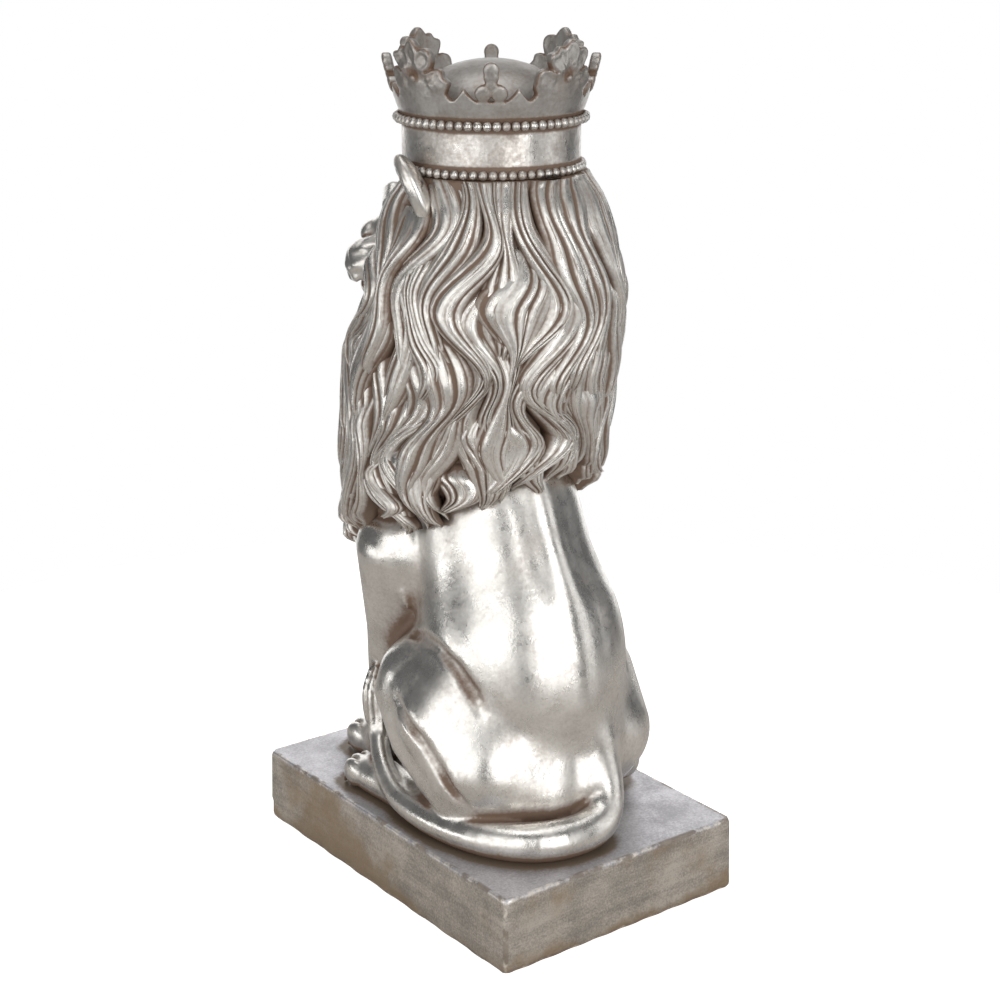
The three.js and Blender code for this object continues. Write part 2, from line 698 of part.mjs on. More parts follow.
// Height of the rim's top edge over the upper beads: level, with a pointed cusp on each side of
// a sprig and a hollow sweep up into each leaf.
function rimTop(angle) {
  const sector = (2 * Math.PI) / LEAF_COUNT;
  const fromLeaf = Math.abs(angle - Math.round(angle / sector) * sector);
  const along = fromLeaf * BAND_RADIUS;
  const cusp = 1 - Math.abs(sector / 2 - fromLeaf - CUSP_PLACE) * BAND_RADIUS / (CUSP_WIDTH / 2);
  const sweep = clamp((LEAF_FOOT / 2 + 8 - along) / 8, 0, 1);
  return RIM_HEIGHT + (CUSP_HEIGHT - RIM_HEIGHT) * Math.pow(Math.max(cusp, 0), 1.6)
    + 6 * sweep * sweep;
}

// The wall of the rim, from inside the band up to its top edge.
function rimWall(steps) {
  const rows = 3;
  const points = [];
  const faces = [];
  for (let i = 0; i < steps; i++) {
    const angle = (i / steps) * 2 * Math.PI;
    const foot = UPPER_ROW - 1;
    const top = UPPER_ROW + rimTop(angle);
    for (let j = 0; j < 2 * rows; j++) {
      const outer = j < rows;
      const z = mix(foot, top, (outer ? j : 2 * rows - 1 - j) / (rows - 1));
      const r = rimRadius(z) - (outer ? 0 : WALL) - (z === foot ? 0.5 : 0);
      points.push(r * Math.cos(angle), r * Math.sin(angle), z);
      const next = (j + 1) % (2 * rows);
      const side = ((i + 1) % steps) * 2 * rows;
      faces.push(i * 2 * rows + j, side + j, side + next, i * 2 * rows + j, side + next, i * 2 * rows + next);
    }
  }
  return bufferOf(points, faces);
}

function makeCrown() {
  const rise = CAP_RISE - 6;
  const capFoot = UPPER_ROW + CAP_RISE - rise;
  const ring = lathe([
    [0, 0], [BAND_RADIUS, 0], [BAND_RADIUS, UPPER_ROW], [BAND_RADIUS - WALL / 2, capFoot],
    [CAP_RADIUS, capFoot],
    [CAP_RADIUS * 0.92, capFoot + rise * 0.4], [CAP_RADIUS * 0.7, capFoot + rise * 0.72],
    [CAP_RADIUS * 0.38, capFoot + rise * 0.93], [0, capFoot + rise]], 48);
  let crown = solidOf(ring).add(solidOf(rimWall(RIM_STEPS)));
  crown = crown.add(solidOf(beadRow(UPPER_BEADS, BAND_RADIUS + 2.4, UPPER_ROW)));
  crown = crown.add(solidOf(beadRow(LOWER_BEADS, BAND_RADIUS + 0.8, LOWER_ROW)));
  const sector = (2 * Math.PI) / LEAF_COUNT;
  const leafMiddle = UPPER_ROW + LEAF_MIDDLE;
  const sprigMiddle = UPPER_ROW + SPRIG_MIDDLE;
  const sprigWall = WALL * 0.9;
  for (let n = 0; n < LEAF_COUNT; n++) {
    const leaf = bentPlate(lobes(LEAF_DISCS, 0.05), 42, 2, n * sector, leafMiddle, WALL, 2.5);
    const middle = (n + 0.5) * sector;
    const sprig = bentPlate(lobes(SPRIG_DISCS, 0), 18, 1, middle, sprigMiddle, sprigWall, 1);
    crown = crown.add(solidOf(leaf)).add(solidOf(sprig));
  }
  const mesh = crown.getMesh();
  const faces = Int32Array.from(mesh.triVerts);
  const lean = simplify({ points: Float64Array.from(mesh.vertProperties), faces }, CROWN_TRIANGLES);
  return bufferOf(lean.points, lean.faces);
}

// Lion: meshed with some stock below the plinth's top, then cut flat at its foot and head.
function makeLion() {
  const low = [-88, -116, -15];
  const high = [92, 112, 392];
  const mesh = simplify(surfaceNet(lion, low, high, GRID_STEP), LION_TRIANGLES);
  const body = bufferOf(mesh.points, mesh.faces).scale(GROW, GROW, GROW)
    .translate(0, 0, PLINTH_HEIGHT);
  const reach = FIGURE_HEIGHT * 2;
  const below = new THREE.BoxGeometry(reach, reach, reach)
    .translate(0, 0, PLINTH_HEIGHT - reach / 2);
  const keepClear = BAND_RADIUS + 0.8 + BEAD_DIAMETER / 2 + CLEARANCE;
  const above = cylinder(keepClear, SEAT, SEAT + reach, 48);
  return geometryOf(solidOf(body).subtract(solidOf(below)).subtract(solidOf(above)));
}

// Assembly

const leaf = new THREE.MeshStandardMaterial({ color: 0xc9c2b6, roughness: 0.3, metalness: 1 });
const dullLeaf = new THREE.MeshStandardMaterial({ color: 0x9c958a, roughness: 0.5, metalness: 0.9 });

const sculpture = new THREE.Group();

const plinth = new THREE.Mesh(makePlinth(), dullLeaf);
plinth.name = 'plinth';
sculpture.add(plinth);

const lionMesh = new THREE.Mesh(makeLion(), leaf);
lionMesh.name = 'lion';
sculpture.add(lionMesh);

const crown = new THREE.Mesh(makeCrown(), leaf);
crown.name = 'crown';
crown.position.set(0, 0, SEAT);
crown.rotation.z = THREE.MathUtils.degToRad(HEAD_TURN);
sculpture.add(crown);

export default sculpture;
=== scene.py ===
"""A seated lion with a long wavy mane and an open leaf crown, on a plain plinth.

Metres, +Z up. The lion faces -Y and its left side is +X. The origin is the centre of the
plinth's underside. The lion's own form is laid out in millimetres above the plinth's top.
"""

import math

import bpy
import numpy as np
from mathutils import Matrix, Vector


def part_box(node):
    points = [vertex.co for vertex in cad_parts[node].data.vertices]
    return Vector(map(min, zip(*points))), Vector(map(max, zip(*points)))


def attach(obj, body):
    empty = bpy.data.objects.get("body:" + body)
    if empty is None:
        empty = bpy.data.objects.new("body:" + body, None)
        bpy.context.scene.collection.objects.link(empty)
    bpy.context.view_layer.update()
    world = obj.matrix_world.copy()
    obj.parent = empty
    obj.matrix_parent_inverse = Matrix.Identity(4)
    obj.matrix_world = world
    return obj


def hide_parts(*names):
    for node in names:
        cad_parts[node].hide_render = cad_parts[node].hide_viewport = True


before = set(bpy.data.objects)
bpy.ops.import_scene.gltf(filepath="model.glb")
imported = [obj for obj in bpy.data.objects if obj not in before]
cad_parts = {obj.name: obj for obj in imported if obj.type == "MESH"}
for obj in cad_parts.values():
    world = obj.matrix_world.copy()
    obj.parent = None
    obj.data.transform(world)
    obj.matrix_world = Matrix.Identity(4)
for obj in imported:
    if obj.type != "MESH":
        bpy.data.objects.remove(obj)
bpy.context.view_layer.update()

import openvdb
from bpy.props import FloatProperty, FloatVectorProperty, IntProperty
from mathutils import Vector

bl_info = {
    "name": "Crowned lion figure",
    "version": (1, 0, 0),
    "blender": (4, 5, 0),
    "location": "View3D > Sidebar > Lion",
    "description": "Builds a seated lion in silver leaf, its crown and its plinth",
    "category": "Object",
}

MM = 0.001
PLINTH_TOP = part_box("plinth")[1].z
CROWN_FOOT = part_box("crown")[0].z
FIGURE_HEIGHT = (CROWN_FOOT - PLINTH_TOP) / MM

# Height from the plinth's top to the crown's foot that the lion's form is drawn for
NOMINAL = 374.0


# Sizes and colours that a user would change


def measure(name, description, default):
    """A size in metres."""
    return FloatProperty(name=name, description=description, default=default, unit="LENGTH")


def tint(name, description, default):
    """A colour."""
    return FloatVectorProperty(
        name=name, description=description, default=default, subtype="COLOR", size=3)


class PlinthSizes(bpy.types.PropertyGroup):
    """Sizes of the plinth"""

    width: measure("Width", "Side to side at the foot", 0.169)
    length: measure("Length", "Front to back at the foot", 0.248)
    draft: measure("Draft", "How far each side leans in by the top", 0.001)
    corner: measure("Corner", "Radius of the upright corners", 0.003)
    arris: measure("Arris", "Radius of the top and bottom edges", 0.0012)
    wear: measure("Wear", "How deep the foot's edge is worn", 0.0006)
    leaf: tint("Leaf", "Colour of the dull leaf on the sides", (0.69, 0.64, 0.575))
    top: tint("Top", "Colour of the leaf on top", (0.69, 0.675, 0.70))
    stain: tint("Stain", "Colour of the warm stains on the sides", (0.4, 0.3, 0.2))
    # The ground colour also paints the shade on the top round the figure.
    ground_and_shade: tint("Ground", "Colour under the worn leaf", (0.19, 0.145, 0.105))


class LionSizes(bpy.types.PropertyGroup):
    """Sizes of the lion's body and head"""

    head_turn: FloatProperty(
        name="Head turn", description="Turn of the head to the lion's left",
        default=math.radians(8), unit="ROTATION")
    body_step: measure("Body step", "Mesh step on the body", 0.00183)
    head_step: measure("Head step", "Mesh step on the head", 0.0012)
    leaf: tint("Leaf", "Colour of the bright leaf", (0.86, 0.835, 0.79))
    # This brown also paints the shade in the hollows, as well as the wax there.
    wax_and_shade: tint("Wax", "Colour of the wax in the hollows", (0.15, 0.082, 0.044))


class ManeSizes(bpy.types.PropertyGroup):
    """Sizes of the mane's locks"""

    columns: IntProperty(
        name="Columns", description="Locks round the mane", default=25, min=8)
    rows: IntProperty(name="Rows", description="Rows of locks down the mane", default=7, min=3)
    step: measure("Step", "Height between two rows of locks", 0.037)
    length: measure("Length", "Length of a lock", 0.112)
    width: measure("Width", "Width of a lock", 0.0245)
    relief: measure("Relief", "How proud a lock stands", 0.0095)
    strand: measure("Strand", "Depth of the grooves between strands", 0.0016)
    seed: IntProperty(name="Seed", description="Order of the random locks", default=7)


class CrownSizes(bpy.types.PropertyGroup):
    """Sizes of the crown"""

    band: measure("Band radius", "Outer radius of the band", 0.0495)
    band_height: measure("Band height", "Between the two rows of beads", 0.026)
    bead: measure("Bead", "Diameter of a bead", 0.0052)
    upper_beads: IntProperty(
        name="Upper beads", description="Beads in the upper row", default=64)
    lower_beads: IntProperty(
        name="Lower beads", description="Beads in the lower row", default=60)
    rim_height: measure("Rim height", "Upper beads to the notches", 0.013)
    rim_flare: measure("Rim flare", "How far the rim leans out by the leaves' tips", 0.012)
    wall: measure("Wall", "Thickness of the rim and leaves", 0.0046)
    leaves: IntProperty(name="Leaves", description="Large leaves round the rim", default=4)
    leaf_height: measure("Leaf height", "Upper beads to a leaf's tip", 0.045)
    cap: measure("Cap radius", "Radius of the domed cap", 0.042)
    cap_rise: measure("Cap rise", "Upper beads to the cap's top", 0.031)
    step: measure("Step", "Mesh step on the crown", 0.0009)
    leaf: tint("Leaf", "Colour of the crown's leaf", (0.85, 0.82, 0.775))


class StageSizes(bpy.types.PropertyGroup):
    """Camera, lights and floor"""

    camera: FloatVectorProperty(
        name="Camera", description="Where the camera stands",
        default=(0.6661, 0.8871, 0.5743), subtype="TRANSLATION", size=3)
    heading: FloatProperty(
        name="Heading", description="Direction the camera faces, from +Y towards +X",
        default=math.radians(217.147), unit="ROTATION")
    dip: FloatProperty(
        name="Dip", description="How far the camera looks down",
        default=math.radians(17.44), unit="ROTATION")
    lens: FloatProperty(
        name="Lens", description="Focal length in millimetres", default=71.73)
    floor: measure("Floor", "Radius of the floor", 0.62)


GROUPS = {
    "lion_plinth": PlinthSizes,
    "lion_body": LionSizes,
    "lion_mane": ManeSizes,
    "lion_crown": CrownSizes,
    "lion_stage": StageSizes,
}


# Shader node groups and materials


def node_group(name, inputs, outputs):
    """A shader group with named sockets. inputs: {name: (kind, default)}."""
    group = bpy.data.node_groups.new(name, "ShaderNodeTree")
    for label, (kind, default) in inputs.items():
        socket = group.interface.new_socket(label, in_out="INPUT", socket_type="NodeSocket" + kind)
        if default is not None:
            socket.default_value = default
    for label, kind in outputs.items():
        group.interface.new_socket(label, in_out="OUTPUT", socket_type="NodeSocket" + kind)
    source = group.nodes.new("NodeGroupInput")
    result = group.nodes.new("NodeGroupOutput")
    return group, source.outputs, result.inputs


def put(tree, kind, settings=None, **sockets):
    """A node with its settings, and its sockets set to a value or linked to another socket.

    A socket goes by its name with _ for a space, or by its place in the list as i0, i1 and so on.
    """
    node = tree.nodes.new(kind)
    for label, value in (settings or {}).items():
        setattr(node, label, value)
    for label, value in sockets.items():
        numbered = label[0] == "i" and label[1:].isdigit()
        key = int(label[1:]) if numbered else label.replace("_", " ")
        if isinstance(value, bpy.types.NodeSocket):
            tree.links.new(value, node.inputs[key])
        else:
            node.inputs[key].default_value = value
    return node


def noise(tree, vector, scale, detail=4.0, roughness=0.55):
    node = put(tree, "ShaderNodeTexNoise", Vector=vector, Scale=scale, Detail=detail,
               Roughness=roughness)
    return node.outputs["Fac"]


def maths(tree, operation, first, second=0.0):
    return put(tree, "ShaderNodeMath", {"operation": operation}, i0=first, i1=second).outputs[0]


def span(tree, value, low, high, to_low=0.0, to_high=1.0, way="SMOOTHSTEP"):
    """The value carried from one range to another, smoothly unless another way is named."""
    node = put(tree, "ShaderNodeMapRange", {"interpolation_type": way}, Value=value,
               From_Min=low, From_Max=high, To_Min=to_low, To_Max=to_high)
    return node.outputs["Result"]


def mixed(tree, factor, first, second):
    """A colour between two."""
    node = put(tree, "ShaderNodeMix", {"data_type": "RGBA"}, i0=factor, i6=first, i7=second)
    return node.outputs[2]


def paint(colour, share=1.0):
    """A colour with its alpha, darker or lighter by a share and never over white."""
    return tuple(min(1.0, share * c) for c in colour) + (1.0,)


def wax_and_shade_group():
    """Brown wax and painted shade in the hollows: a mask from the hollow attribute, broken up by
    grain.
    """
    group, given, out = node_group(
        "Wax and painted shade in the hollows",
        {"Vector": ("Vector", None), "Hollow": ("Float", 0.0), "Reach": ("Float", 0.5)},
        {"Mask": "Float"})
    coarse = noise(group, given["Vector"], 60.0)
    fine = noise(group, given["Vector"], 420.0, 2.0)
    grain = maths(group, "ADD", coarse, maths(group, "MULTIPLY", fine, 0.6))
    level = maths(group, "ADD", given["Hollow"], maths(group, "MULTIPLY_ADD", grain, 0.5))
    level = maths(group, "SUBTRACT", level, 0.4)
    low = maths(group, "SUBTRACT", 1.0, given["Reach"])
    high = maths(group, "ADD", low, 0.55)
    group.links.new(span(group, level, low, high), out["Mask"])
    return group


def leaf_group():
    """Hand-laid metal leaf: cloudy tone, rubbed roughness and a finely wrinkled normal."""
    group, given, out = node_group(
        "Metal leaf",
        {"Vector": ("Vector", None), "Tone low": ("Float", 0.85), "Rough low": ("Float", 0.2),
         "Rough high": ("Float", 0.36), "Depth": ("Float", 0.2)},
        {"Tone": "Float", "Roughness": "Float", "Normal": "Vector"})
    cloud = noise(group, given["Vector"], 28.0, 5.0, 0.6)
    speck = noise(group, given["Vector"], 700.0, 2.0, 0.6)
    tone = maths(group, "ADD", maths(group, "MULTIPLY", cloud, 0.65),
                 maths(group, "MULTIPLY", speck, 0.35))
    toned = span(group, tone, 0.35, 0.62, given["Tone low"], 1.0, "LINEAR")
    rub = noise(group, given["Vector"], 55.0, 6.0, 0.7)
    rubbed = span(group, rub, 0.35, 0.65, given["Rough low"], given["Rough high"], "LINEAR")
    crease = noise(group, given["Vector"], 240.0, 6.0, 0.65)
    bump = put(group, "ShaderNodeBump", Strength=given["Depth"], Distance=0.0006, Height=crease)
    group.links.new(toned, out["Tone"])
    group.links.new(rubbed, out["Roughness"])
    group.links.new(bump.outputs["Normal"], out["Normal"])
    return group


def pits_group():
    """Scattered pinholes where the leaf missed."""
    group, given, out = node_group(
        "Pinholes", {"Vector": ("Vector", None), "Scale": ("Float", 45.0),
                     "Share": ("Float", 0.04)}, {"Mask": "Float"})
    cells = put(group, "ShaderNodeTexVoronoi", Vector=given["Vector"], Scale=given["Scale"])
    patches = noise(group, given["Vector"], 11.0, 2.0)
    near = maths(group, "LESS_THAN", cells.outputs["Distance"], given["Share"])
    here = maths(group, "GREATER_THAN", patches, 0.56)
    group.links.new(maths(group, "MULTIPLY", near, here), out["Mask"])
    return group


def streaks_group():
    """Level brush streaks: tone and height that run along the piece and vary up it."""
    group, given, out = node_group(
        "Brush streaks", {"Vector": ("Vector", None)}, {"Tone": "Float", "Height": "Float"})
    stretched = put(group, "ShaderNodeMapping", Vector=given["Vector"], Scale=(14.0, 14.0, 150.0))
    wide = noise(group, stretched.outputs["Vector"], 1.0, 5.0, 0.7)
    patchy = noise(group, given["Vector"], 24.0, 5.0, 0.65)
    fine = noise(group, given["Vector"], 900.0, 2.0, 0.6)
    tone = maths(group, "ADD", maths(group, "MULTIPLY", wide, 0.28),
                 maths(group, "MULTIPLY", patchy, 0.42))
    group.links.new(maths(group, "ADD", tone, maths(group, "MULTIPLY", fine, 0.3)), out["Tone"])
    group.links.new(wide, out["Height"])
    return group


def combed_group():
    """Fine engraved lines that follow each strand, from the comb attribute of the locks."""
    group, given, out = node_group(
        "Combed lines", {"Vector": ("Vector", None), "Comb": ("Float", 0.0)},
        {"Height": "Float", "Mask": "Float"})
    up = put(group, "ShaderNodeSeparateXYZ", Vector=given["Vector"]).outputs["Z"]
    along_it = put(group, "ShaderNodeCombineXYZ", X=maths(group, "MULTIPLY", given["Comb"], 4.6),
                   Y=maths(group, "MULTIPLY", up, 30.0))
    lines = noise(group, along_it.outputs[0], 1.0, 4.0, 0.7)
    here = maths(group, "GREATER_THAN", given["Comb"], 0.001)
    group.links.new(maths(group, "MULTIPLY", lines, here), out["Height"])
    group.links.new(maths(group, "MULTIPLY", span(group, lines, 0.45, 0.37), here), out["Mask"])
    return group


def placed(tree, name, maker, **sockets):
    """The outputs of a shared group, which its maker builds when it's first wanted."""
    shared = bpy.data.node_groups.get(name) or maker()
    return put(tree, "ShaderNodeGroup", {"node_tree": shared}, **sockets).outputs


def attribute(tree, name):
    return put(tree, "ShaderNodeAttribute", {"attribute_name": name}).outputs["Fac"]


def blank_material(name):
    material = bpy.data.materials.new(name)
    material.use_nodes = True
    tree = material.node_tree
    shader = next(n for n in tree.nodes if n.type == "BSDF_PRINCIPLED")
    where = tree.nodes.new("ShaderNodeTexCoord").outputs["Object"]
    return material, tree, shader, where


def leafed_material(name, leaf, wax_and_shade, reach, rough, depth, tone_low):
    """Metal leaf with brown wax and painted shade in the hollows, from the hollow attribute of the
    piece.
    """
    found = bpy.data.materials.get(name)
    if found:
        return found
    material, tree, shader, where = blank_material(name)
    skin = placed(tree, "Metal leaf", leaf_group, Vector=where, Tone_low=tone_low,
                  Rough_low=rough[0], Rough_high=rough[1], Depth=depth)
    wax_and_shade_mask = placed(tree, "Wax and painted shade in the hollows", wax_and_shade_group, Vector=where,
                  Hollow=attribute(tree, "hollow"), Reach=reach)["Mask"]
    pits = placed(tree, "Pinholes", pits_group, Vector=where, Scale=60.0, Share=0.03)["Mask"]
    combed = placed(tree, "Combed lines", combed_group, Vector=where,
                    Comb=attribute(tree, "comb"))
    lined = maths(tree, "MULTIPLY", combed["Mask"], 0.8)
    dark = maths(tree, "MAXIMUM", wax_and_shade_mask, maths(tree, "MAXIMUM", lined,
                                              maths(tree, "MULTIPLY", pits, 0.6)))
    shade = mixed(tree, skin["Tone"], paint(leaf, 0.62), paint(leaf))
    dull = attribute(tree, "dull")
    shade = mixed(tree, dull, shade, paint(leaf, 0.46))
    # Painted shade: the wax colour, laid where the hollow mask is high, darkens shut-in places as well
    # as showing wax.
    colour = mixed(tree, maths(tree, "MULTIPLY", dark, 0.93), shade, paint(wax_and_shade))
    tree.links.new(colour, shader.inputs["Base Color"])
    plain = maths(tree, "MAXIMUM", dark, maths(tree, "MULTIPLY", dull, 0.5))
    tree.links.new(span(tree, plain, 0.0, 1.0, 1.0, 0.12), shader.inputs["Metallic"])
    rougher = maths(tree, "MULTIPLY", plain, 0.35)
    tree.links.new(maths(tree, "ADD", skin["Roughness"], rougher), shader.inputs["Roughness"])
    scored = put(tree, "ShaderNodeBump", Strength=0.42, Distance=0.001,
                 Height=combed["Height"], Normal=skin["Normal"])
    tree.links.new(scored.outputs["Normal"], shader.inputs["Normal"])
    return material


def plinth_material(sizes):
    """Dull leaf in level streaks, stained low down, rubbed pale and broken along the edges, with
    patina and painted shade on the top round the figure.
    """
    material, tree, shader, where = blank_material("Dull brushed leaf")
    streaks = placed(tree, "Brush streaks", streaks_group, Vector=where)
    wax_and_shade_mask = placed(tree, "Wax and painted shade in the hollows", wax_and_shade_group, Vector=where,
                  Hollow=attribute(tree, "hollow"), Reach=0.5)["Mask"]
    pits = placed(tree, "Pinholes", pits_group, Vector=where, Scale=70.0, Share=0.06)["Mask"]
    grain = noise(tree, where, 130.0, 4.0, 0.7)
    edge = maths(tree, "MULTIPLY", attribute(tree, "edge"), grain)
    tone = span(tree, streaks["Tone"], 0.40, 0.62)
    upper = attribute(tree, "upper")
    light = mixed(tree, upper, paint(sizes.leaf), paint(sizes.top))
    shaded = mixed(tree, upper, paint(sizes.leaf, 0.5), paint(sizes.top, 0.66))
    colour = mixed(tree, tone, shaded, light)
    up = put(tree, "ShaderNodeSeparateXYZ", Vector=where).outputs["Z"]
    low = span(tree, up, 0.016, 0.0, 0.0, 0.16)
    stain = span(tree, maths(tree, "ADD", noise(tree, where, 16.0, 5.0, 0.6), low), 0.5, 0.68)
    stain = maths(tree, "MULTIPLY", stain, maths(tree, "SUBTRACT", 1.0, upper))
    colour = mixed(tree, maths(tree, "MULTIPLY", stain, 0.8), colour, paint(sizes.stain))
    rubbed = span(tree, edge, 0.42, 0.6)
    colour = mixed(tree, maths(tree, "MULTIPLY", rubbed, 0.75), colour, paint(sizes.leaf, 1.35))
    line = maths(tree, "MULTIPLY", span(tree, attribute(tree, "edge"), 0.55, 0.95),
                 span(tree, noise(tree, where, 60.0, 4.0, 0.7), 0.48, 0.58))
    # The hollow mask paints patina and shade on the top round the figure in the ground colour; the
    # edge line and pinholes are wear.
    bare_and_shade = maths(tree, "MAXIMUM", maths(tree, "MAXIMUM", wax_and_shade_mask, maths(tree, "MULTIPLY", line, 0.8)),
                 maths(tree, "MULTIPLY", pits, 0.75))
    colour = mixed(tree, bare_and_shade, colour, paint(sizes.ground_and_shade))
    tree.links.new(colour, shader.inputs["Base Color"])
    tree.links.new(span(tree, bare_and_shade, 0.0, 1.0, 0.82, 0.2), shader.inputs["Metallic"])
    tree.links.new(span(tree, streaks["Tone"], 0.35, 0.65, 0.56, 0.38), shader.inputs["Roughness"])
    bump = put(tree, "ShaderNodeBump", Strength=0.35, Distance=0.0005,
               Height=maths(tree, "ADD", streaks["Height"], maths(tree, "MULTIPLY", grain, 0.5)))
    tree.links.new(bump.outputs["Normal"], shader.inputs["Normal"])
    return material


# Mesh helpers


def mesh_object(name, points, faces, material, attributes=None):
    """A mesh object at the origin from points in metres, with float attributes per point."""
    mesh = bpy.data.meshes.new(name)
    points = np.asarray(points, np.float32)
    if isinstance(faces, np.ndarray):
        corners = faces.shape[1]
        mesh.vertices.add(len(points))
        mesh.vertices.foreach_set("co", points.ravel())
        mesh.loops.add(faces.size)
        mesh.loops.foreach_set("vertex_index", faces.astype(np.int32).ravel())
        mesh.polygons.add(len(faces))
        mesh.polygons.foreach_set("loop_start", np.arange(0, faces.size, corners, dtype=np.int32))
    else:
        mesh.from_pydata(points.tolist(), [], faces)
    mesh.update(calc_edges=True)
    mesh.validate()
    for label, values in (attributes or {}).items():
        layer = mesh.attributes.new(label, "FLOAT", "POINT")
        layer.data.foreach_set("value", np.asarray(values, np.float32))
    mesh.polygons.foreach_set("use_smooth", np.full(len(mesh.polygons), True))
    mesh.materials.append(material)
    piece = bpy.data.objects.new(name, mesh)
    bpy.context.collection.objects.link(piece)
    return piece


def finish_piece(piece, node=None):
    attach(piece, "root")
    if node:
        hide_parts(node)


def volume_sign(points, quads):
    """Positive if the quads face outwards."""
    a, b, c, d = (points[quads[:, i]] for i in range(4))
    return np.sum(np.cross(a, b) * c) + np.sum(np.cross(a, c) * d)


# Distance fields, in millimetres, negative inside. A place is a tuple of arrays x, y, z.


def blend(a, b, soft):
    h = np.maximum(soft - np.abs(a - b), 0.0) / soft
    return np.minimum(a, b) - h * h * soft * 0.25


def carve(a, b, soft):
    return -blend(-a, b, soft)


def egg(p, centre, radii):
    x, y, z = ((v - c) / r for v, c, r in zip(p, centre, radii))
    k0 = np.sqrt(x * x + y * y + z * z)
    k1 = np.sqrt((x / radii[0]) ** 2 + (y / radii[1]) ** 2 + (z / radii[2]) ** 2)
    return k0 * (k0 - 1.0) / np.maximum(k1, 1e-6)


def limb(p, stations):
    """Round bars, tapering from each station (x, y, z, radius) to the next."""
    result = None
    for a, b in zip(stations, stations[1:]):
        along_bar = [b[i] - a[i] for i in range(3)]
        size = sum(v * v for v in along_bar)
        t = sum((p[i] - a[i]) * along_bar[i] for i in range(3)) / size
        t = np.clip(t, 0.0, 1.0)
        gap = sum((p[i] - a[i] - along_bar[i] * t) ** 2 for i in range(3))
        bar = np.sqrt(gap) - (a[3] + (b[3] - a[3]) * t)
        result = bar if result is None else np.minimum(result, bar)
    return result


def along(table, value, ease):
    """A table of [position, value] rows read with its corners eased."""
    at, values = zip(*table)
    shifts = np.linspace(-ease, ease, 5)
    return sum(np.interp(value + s, at, values) for s in shifts) / 5.0


def ramp(low, high, value):
    t = np.clip((value - low) / (high - low), 0.0, 1.0)
    return t * t * (3.0 - 2.0 * t)


# The body


# Each mass of the trunk: its centre and its radii
RUMP = ((0, 36, 46), (56, 52, 54))
SEAT = ((7, 48, 24), (50, 43, 34))
WAIST = ((0, 31, 78), (57, 56, 52))
LOIN = ((0, 28, 106), (60, 58, 62))
BACK = ((0, 4, 162), (51, 53, 62))
CHEST = ((0, -30, 160), (41, 40, 62))
SPINE = [(3, 43, 200, 6), (3, 55, 172, 6), (2, 69, 140, 7), (1, 77, 110, 8),
         (0, 80, 82, 8), (-6, 78, 62, 8)]


def torso(p):
    rump = blend(egg(p, *RUMP), egg(p, *SEAT), 12)
    hips = blend(blend(rump, egg(p, *WAIST), 10), egg(p, *LOIN), 18)
    shoulders = blend(egg(p, *BACK), egg(p, *CHEST), 20)
    return blend(blend(hips, shoulders, 22), limb(p, SPINE), 13)


THIGH = [(43, 45, 42, 33), (50, 25, 66, 31), (54, -3, 84, 21)]
SHIN = [(60, -6, 74, 17), (64, 10, 50, 14), (63, 30, 35, 13), (59, 50, 18, 12)]
HIND_FOOT = [(60, 40, 10, 11), (60, 0, 8, 11), (60, -26, 9, 12)]
SHIN_FOLD = [(78, 10, 80, 1.4), (80, 24, 72, 2.0), (78, 40, 61, 2.2), (76, 49, 51, 2.2),
             (68, 63, 31, 2.0), (59, 71, 17, 1.6)]
FLANK_FOLD = [(55, -2, 109, 0.6), (59, 13, 113, 1.3), (60, 28, 112, 1.8), (58, 45, 104, 2.2),
              (55, 56, 92, 2.6), (55, 63, 82, 1.0)]
FORELEG = [(41, -32, 152, 28), (38, -43, 98, 19), (33, -57, 60, 15), (31, -66, 24, 14)]
ELBOW = [(37, -24, 108, 6), (39, -20, 92, 5), (38, -24, 82, 2)]
ELBOW_CURL = [(49, -25, 142, 2.6), (52, -21, 134, 2.4), (51, -18, 125, 0.7)]
ELBOW_CURLS = 3
WRIST = ((31, -62, 30), (14.5, 13, 13))
FORE_PAW = (30, -82, 9)
HIND_PAW = (60, -42, 8)
HIND_PAW_SIZE = 0.92
TOES = 4
TOE_PITCH = 7.2
INNER_TOE = -11
OUTER_TOE = -7


def paw(p, centre, size):
    """Toes side by side, each a knuckle with a claw, with gaps between."""
    cx, cy, cz = centre
    form = egg(p, (cx, cy + 6 * size, cz + 1), (14 * size, 19 * size, 13 * size))
    for toe in range(TOES):
        from_middle = toe - (TOES - 1) / 2
        x = cx + from_middle * TOE_PITCH * size
        y = cy + (INNER_TOE if abs(from_middle) < 1 else OUTER_TOE) * size
        knuckle = egg(p, (x, y + 2, cz + 1.5), (4.6 * size, 10 * size, 9.5 * size))
        claw = limb(p, [(x, y - 4, cz + 1, 2.2), (x, y - 9, -1, 1)])
        form = blend(blend(form, knuckle, 1.4), claw, 1.2)
    return form


def hindquarter(p):
    leg = carve(blend(limb(p, THIGH), limb(p, SHIN), 4), limb(p, SHIN_FOLD), 4)
    foot = blend(limb(p, HIND_FOOT), paw(p, HIND_PAW, HIND_PAW_SIZE), 3)
    return blend(leg, foot, 4)


def forequarter(p):
    """Leg, wrist and paw, with a tuft and a few short curls at the elbow."""
    tuft = limb(p, ELBOW)
    for curl in range(ELBOW_CURLS):
        stations = [(x + curl, y + 3 * curl, z - curl, radius) for x, y, z, radius in ELBOW_CURL]
        tuft = blend(tuft, limb(p, stations), 0.8)
    leg = blend(blend(limb(p, FORELEG), tuft, 4), egg(p, *WRIST), 4)
    return blend(leg, paw(p, FORE_PAW, 1.0), 6)


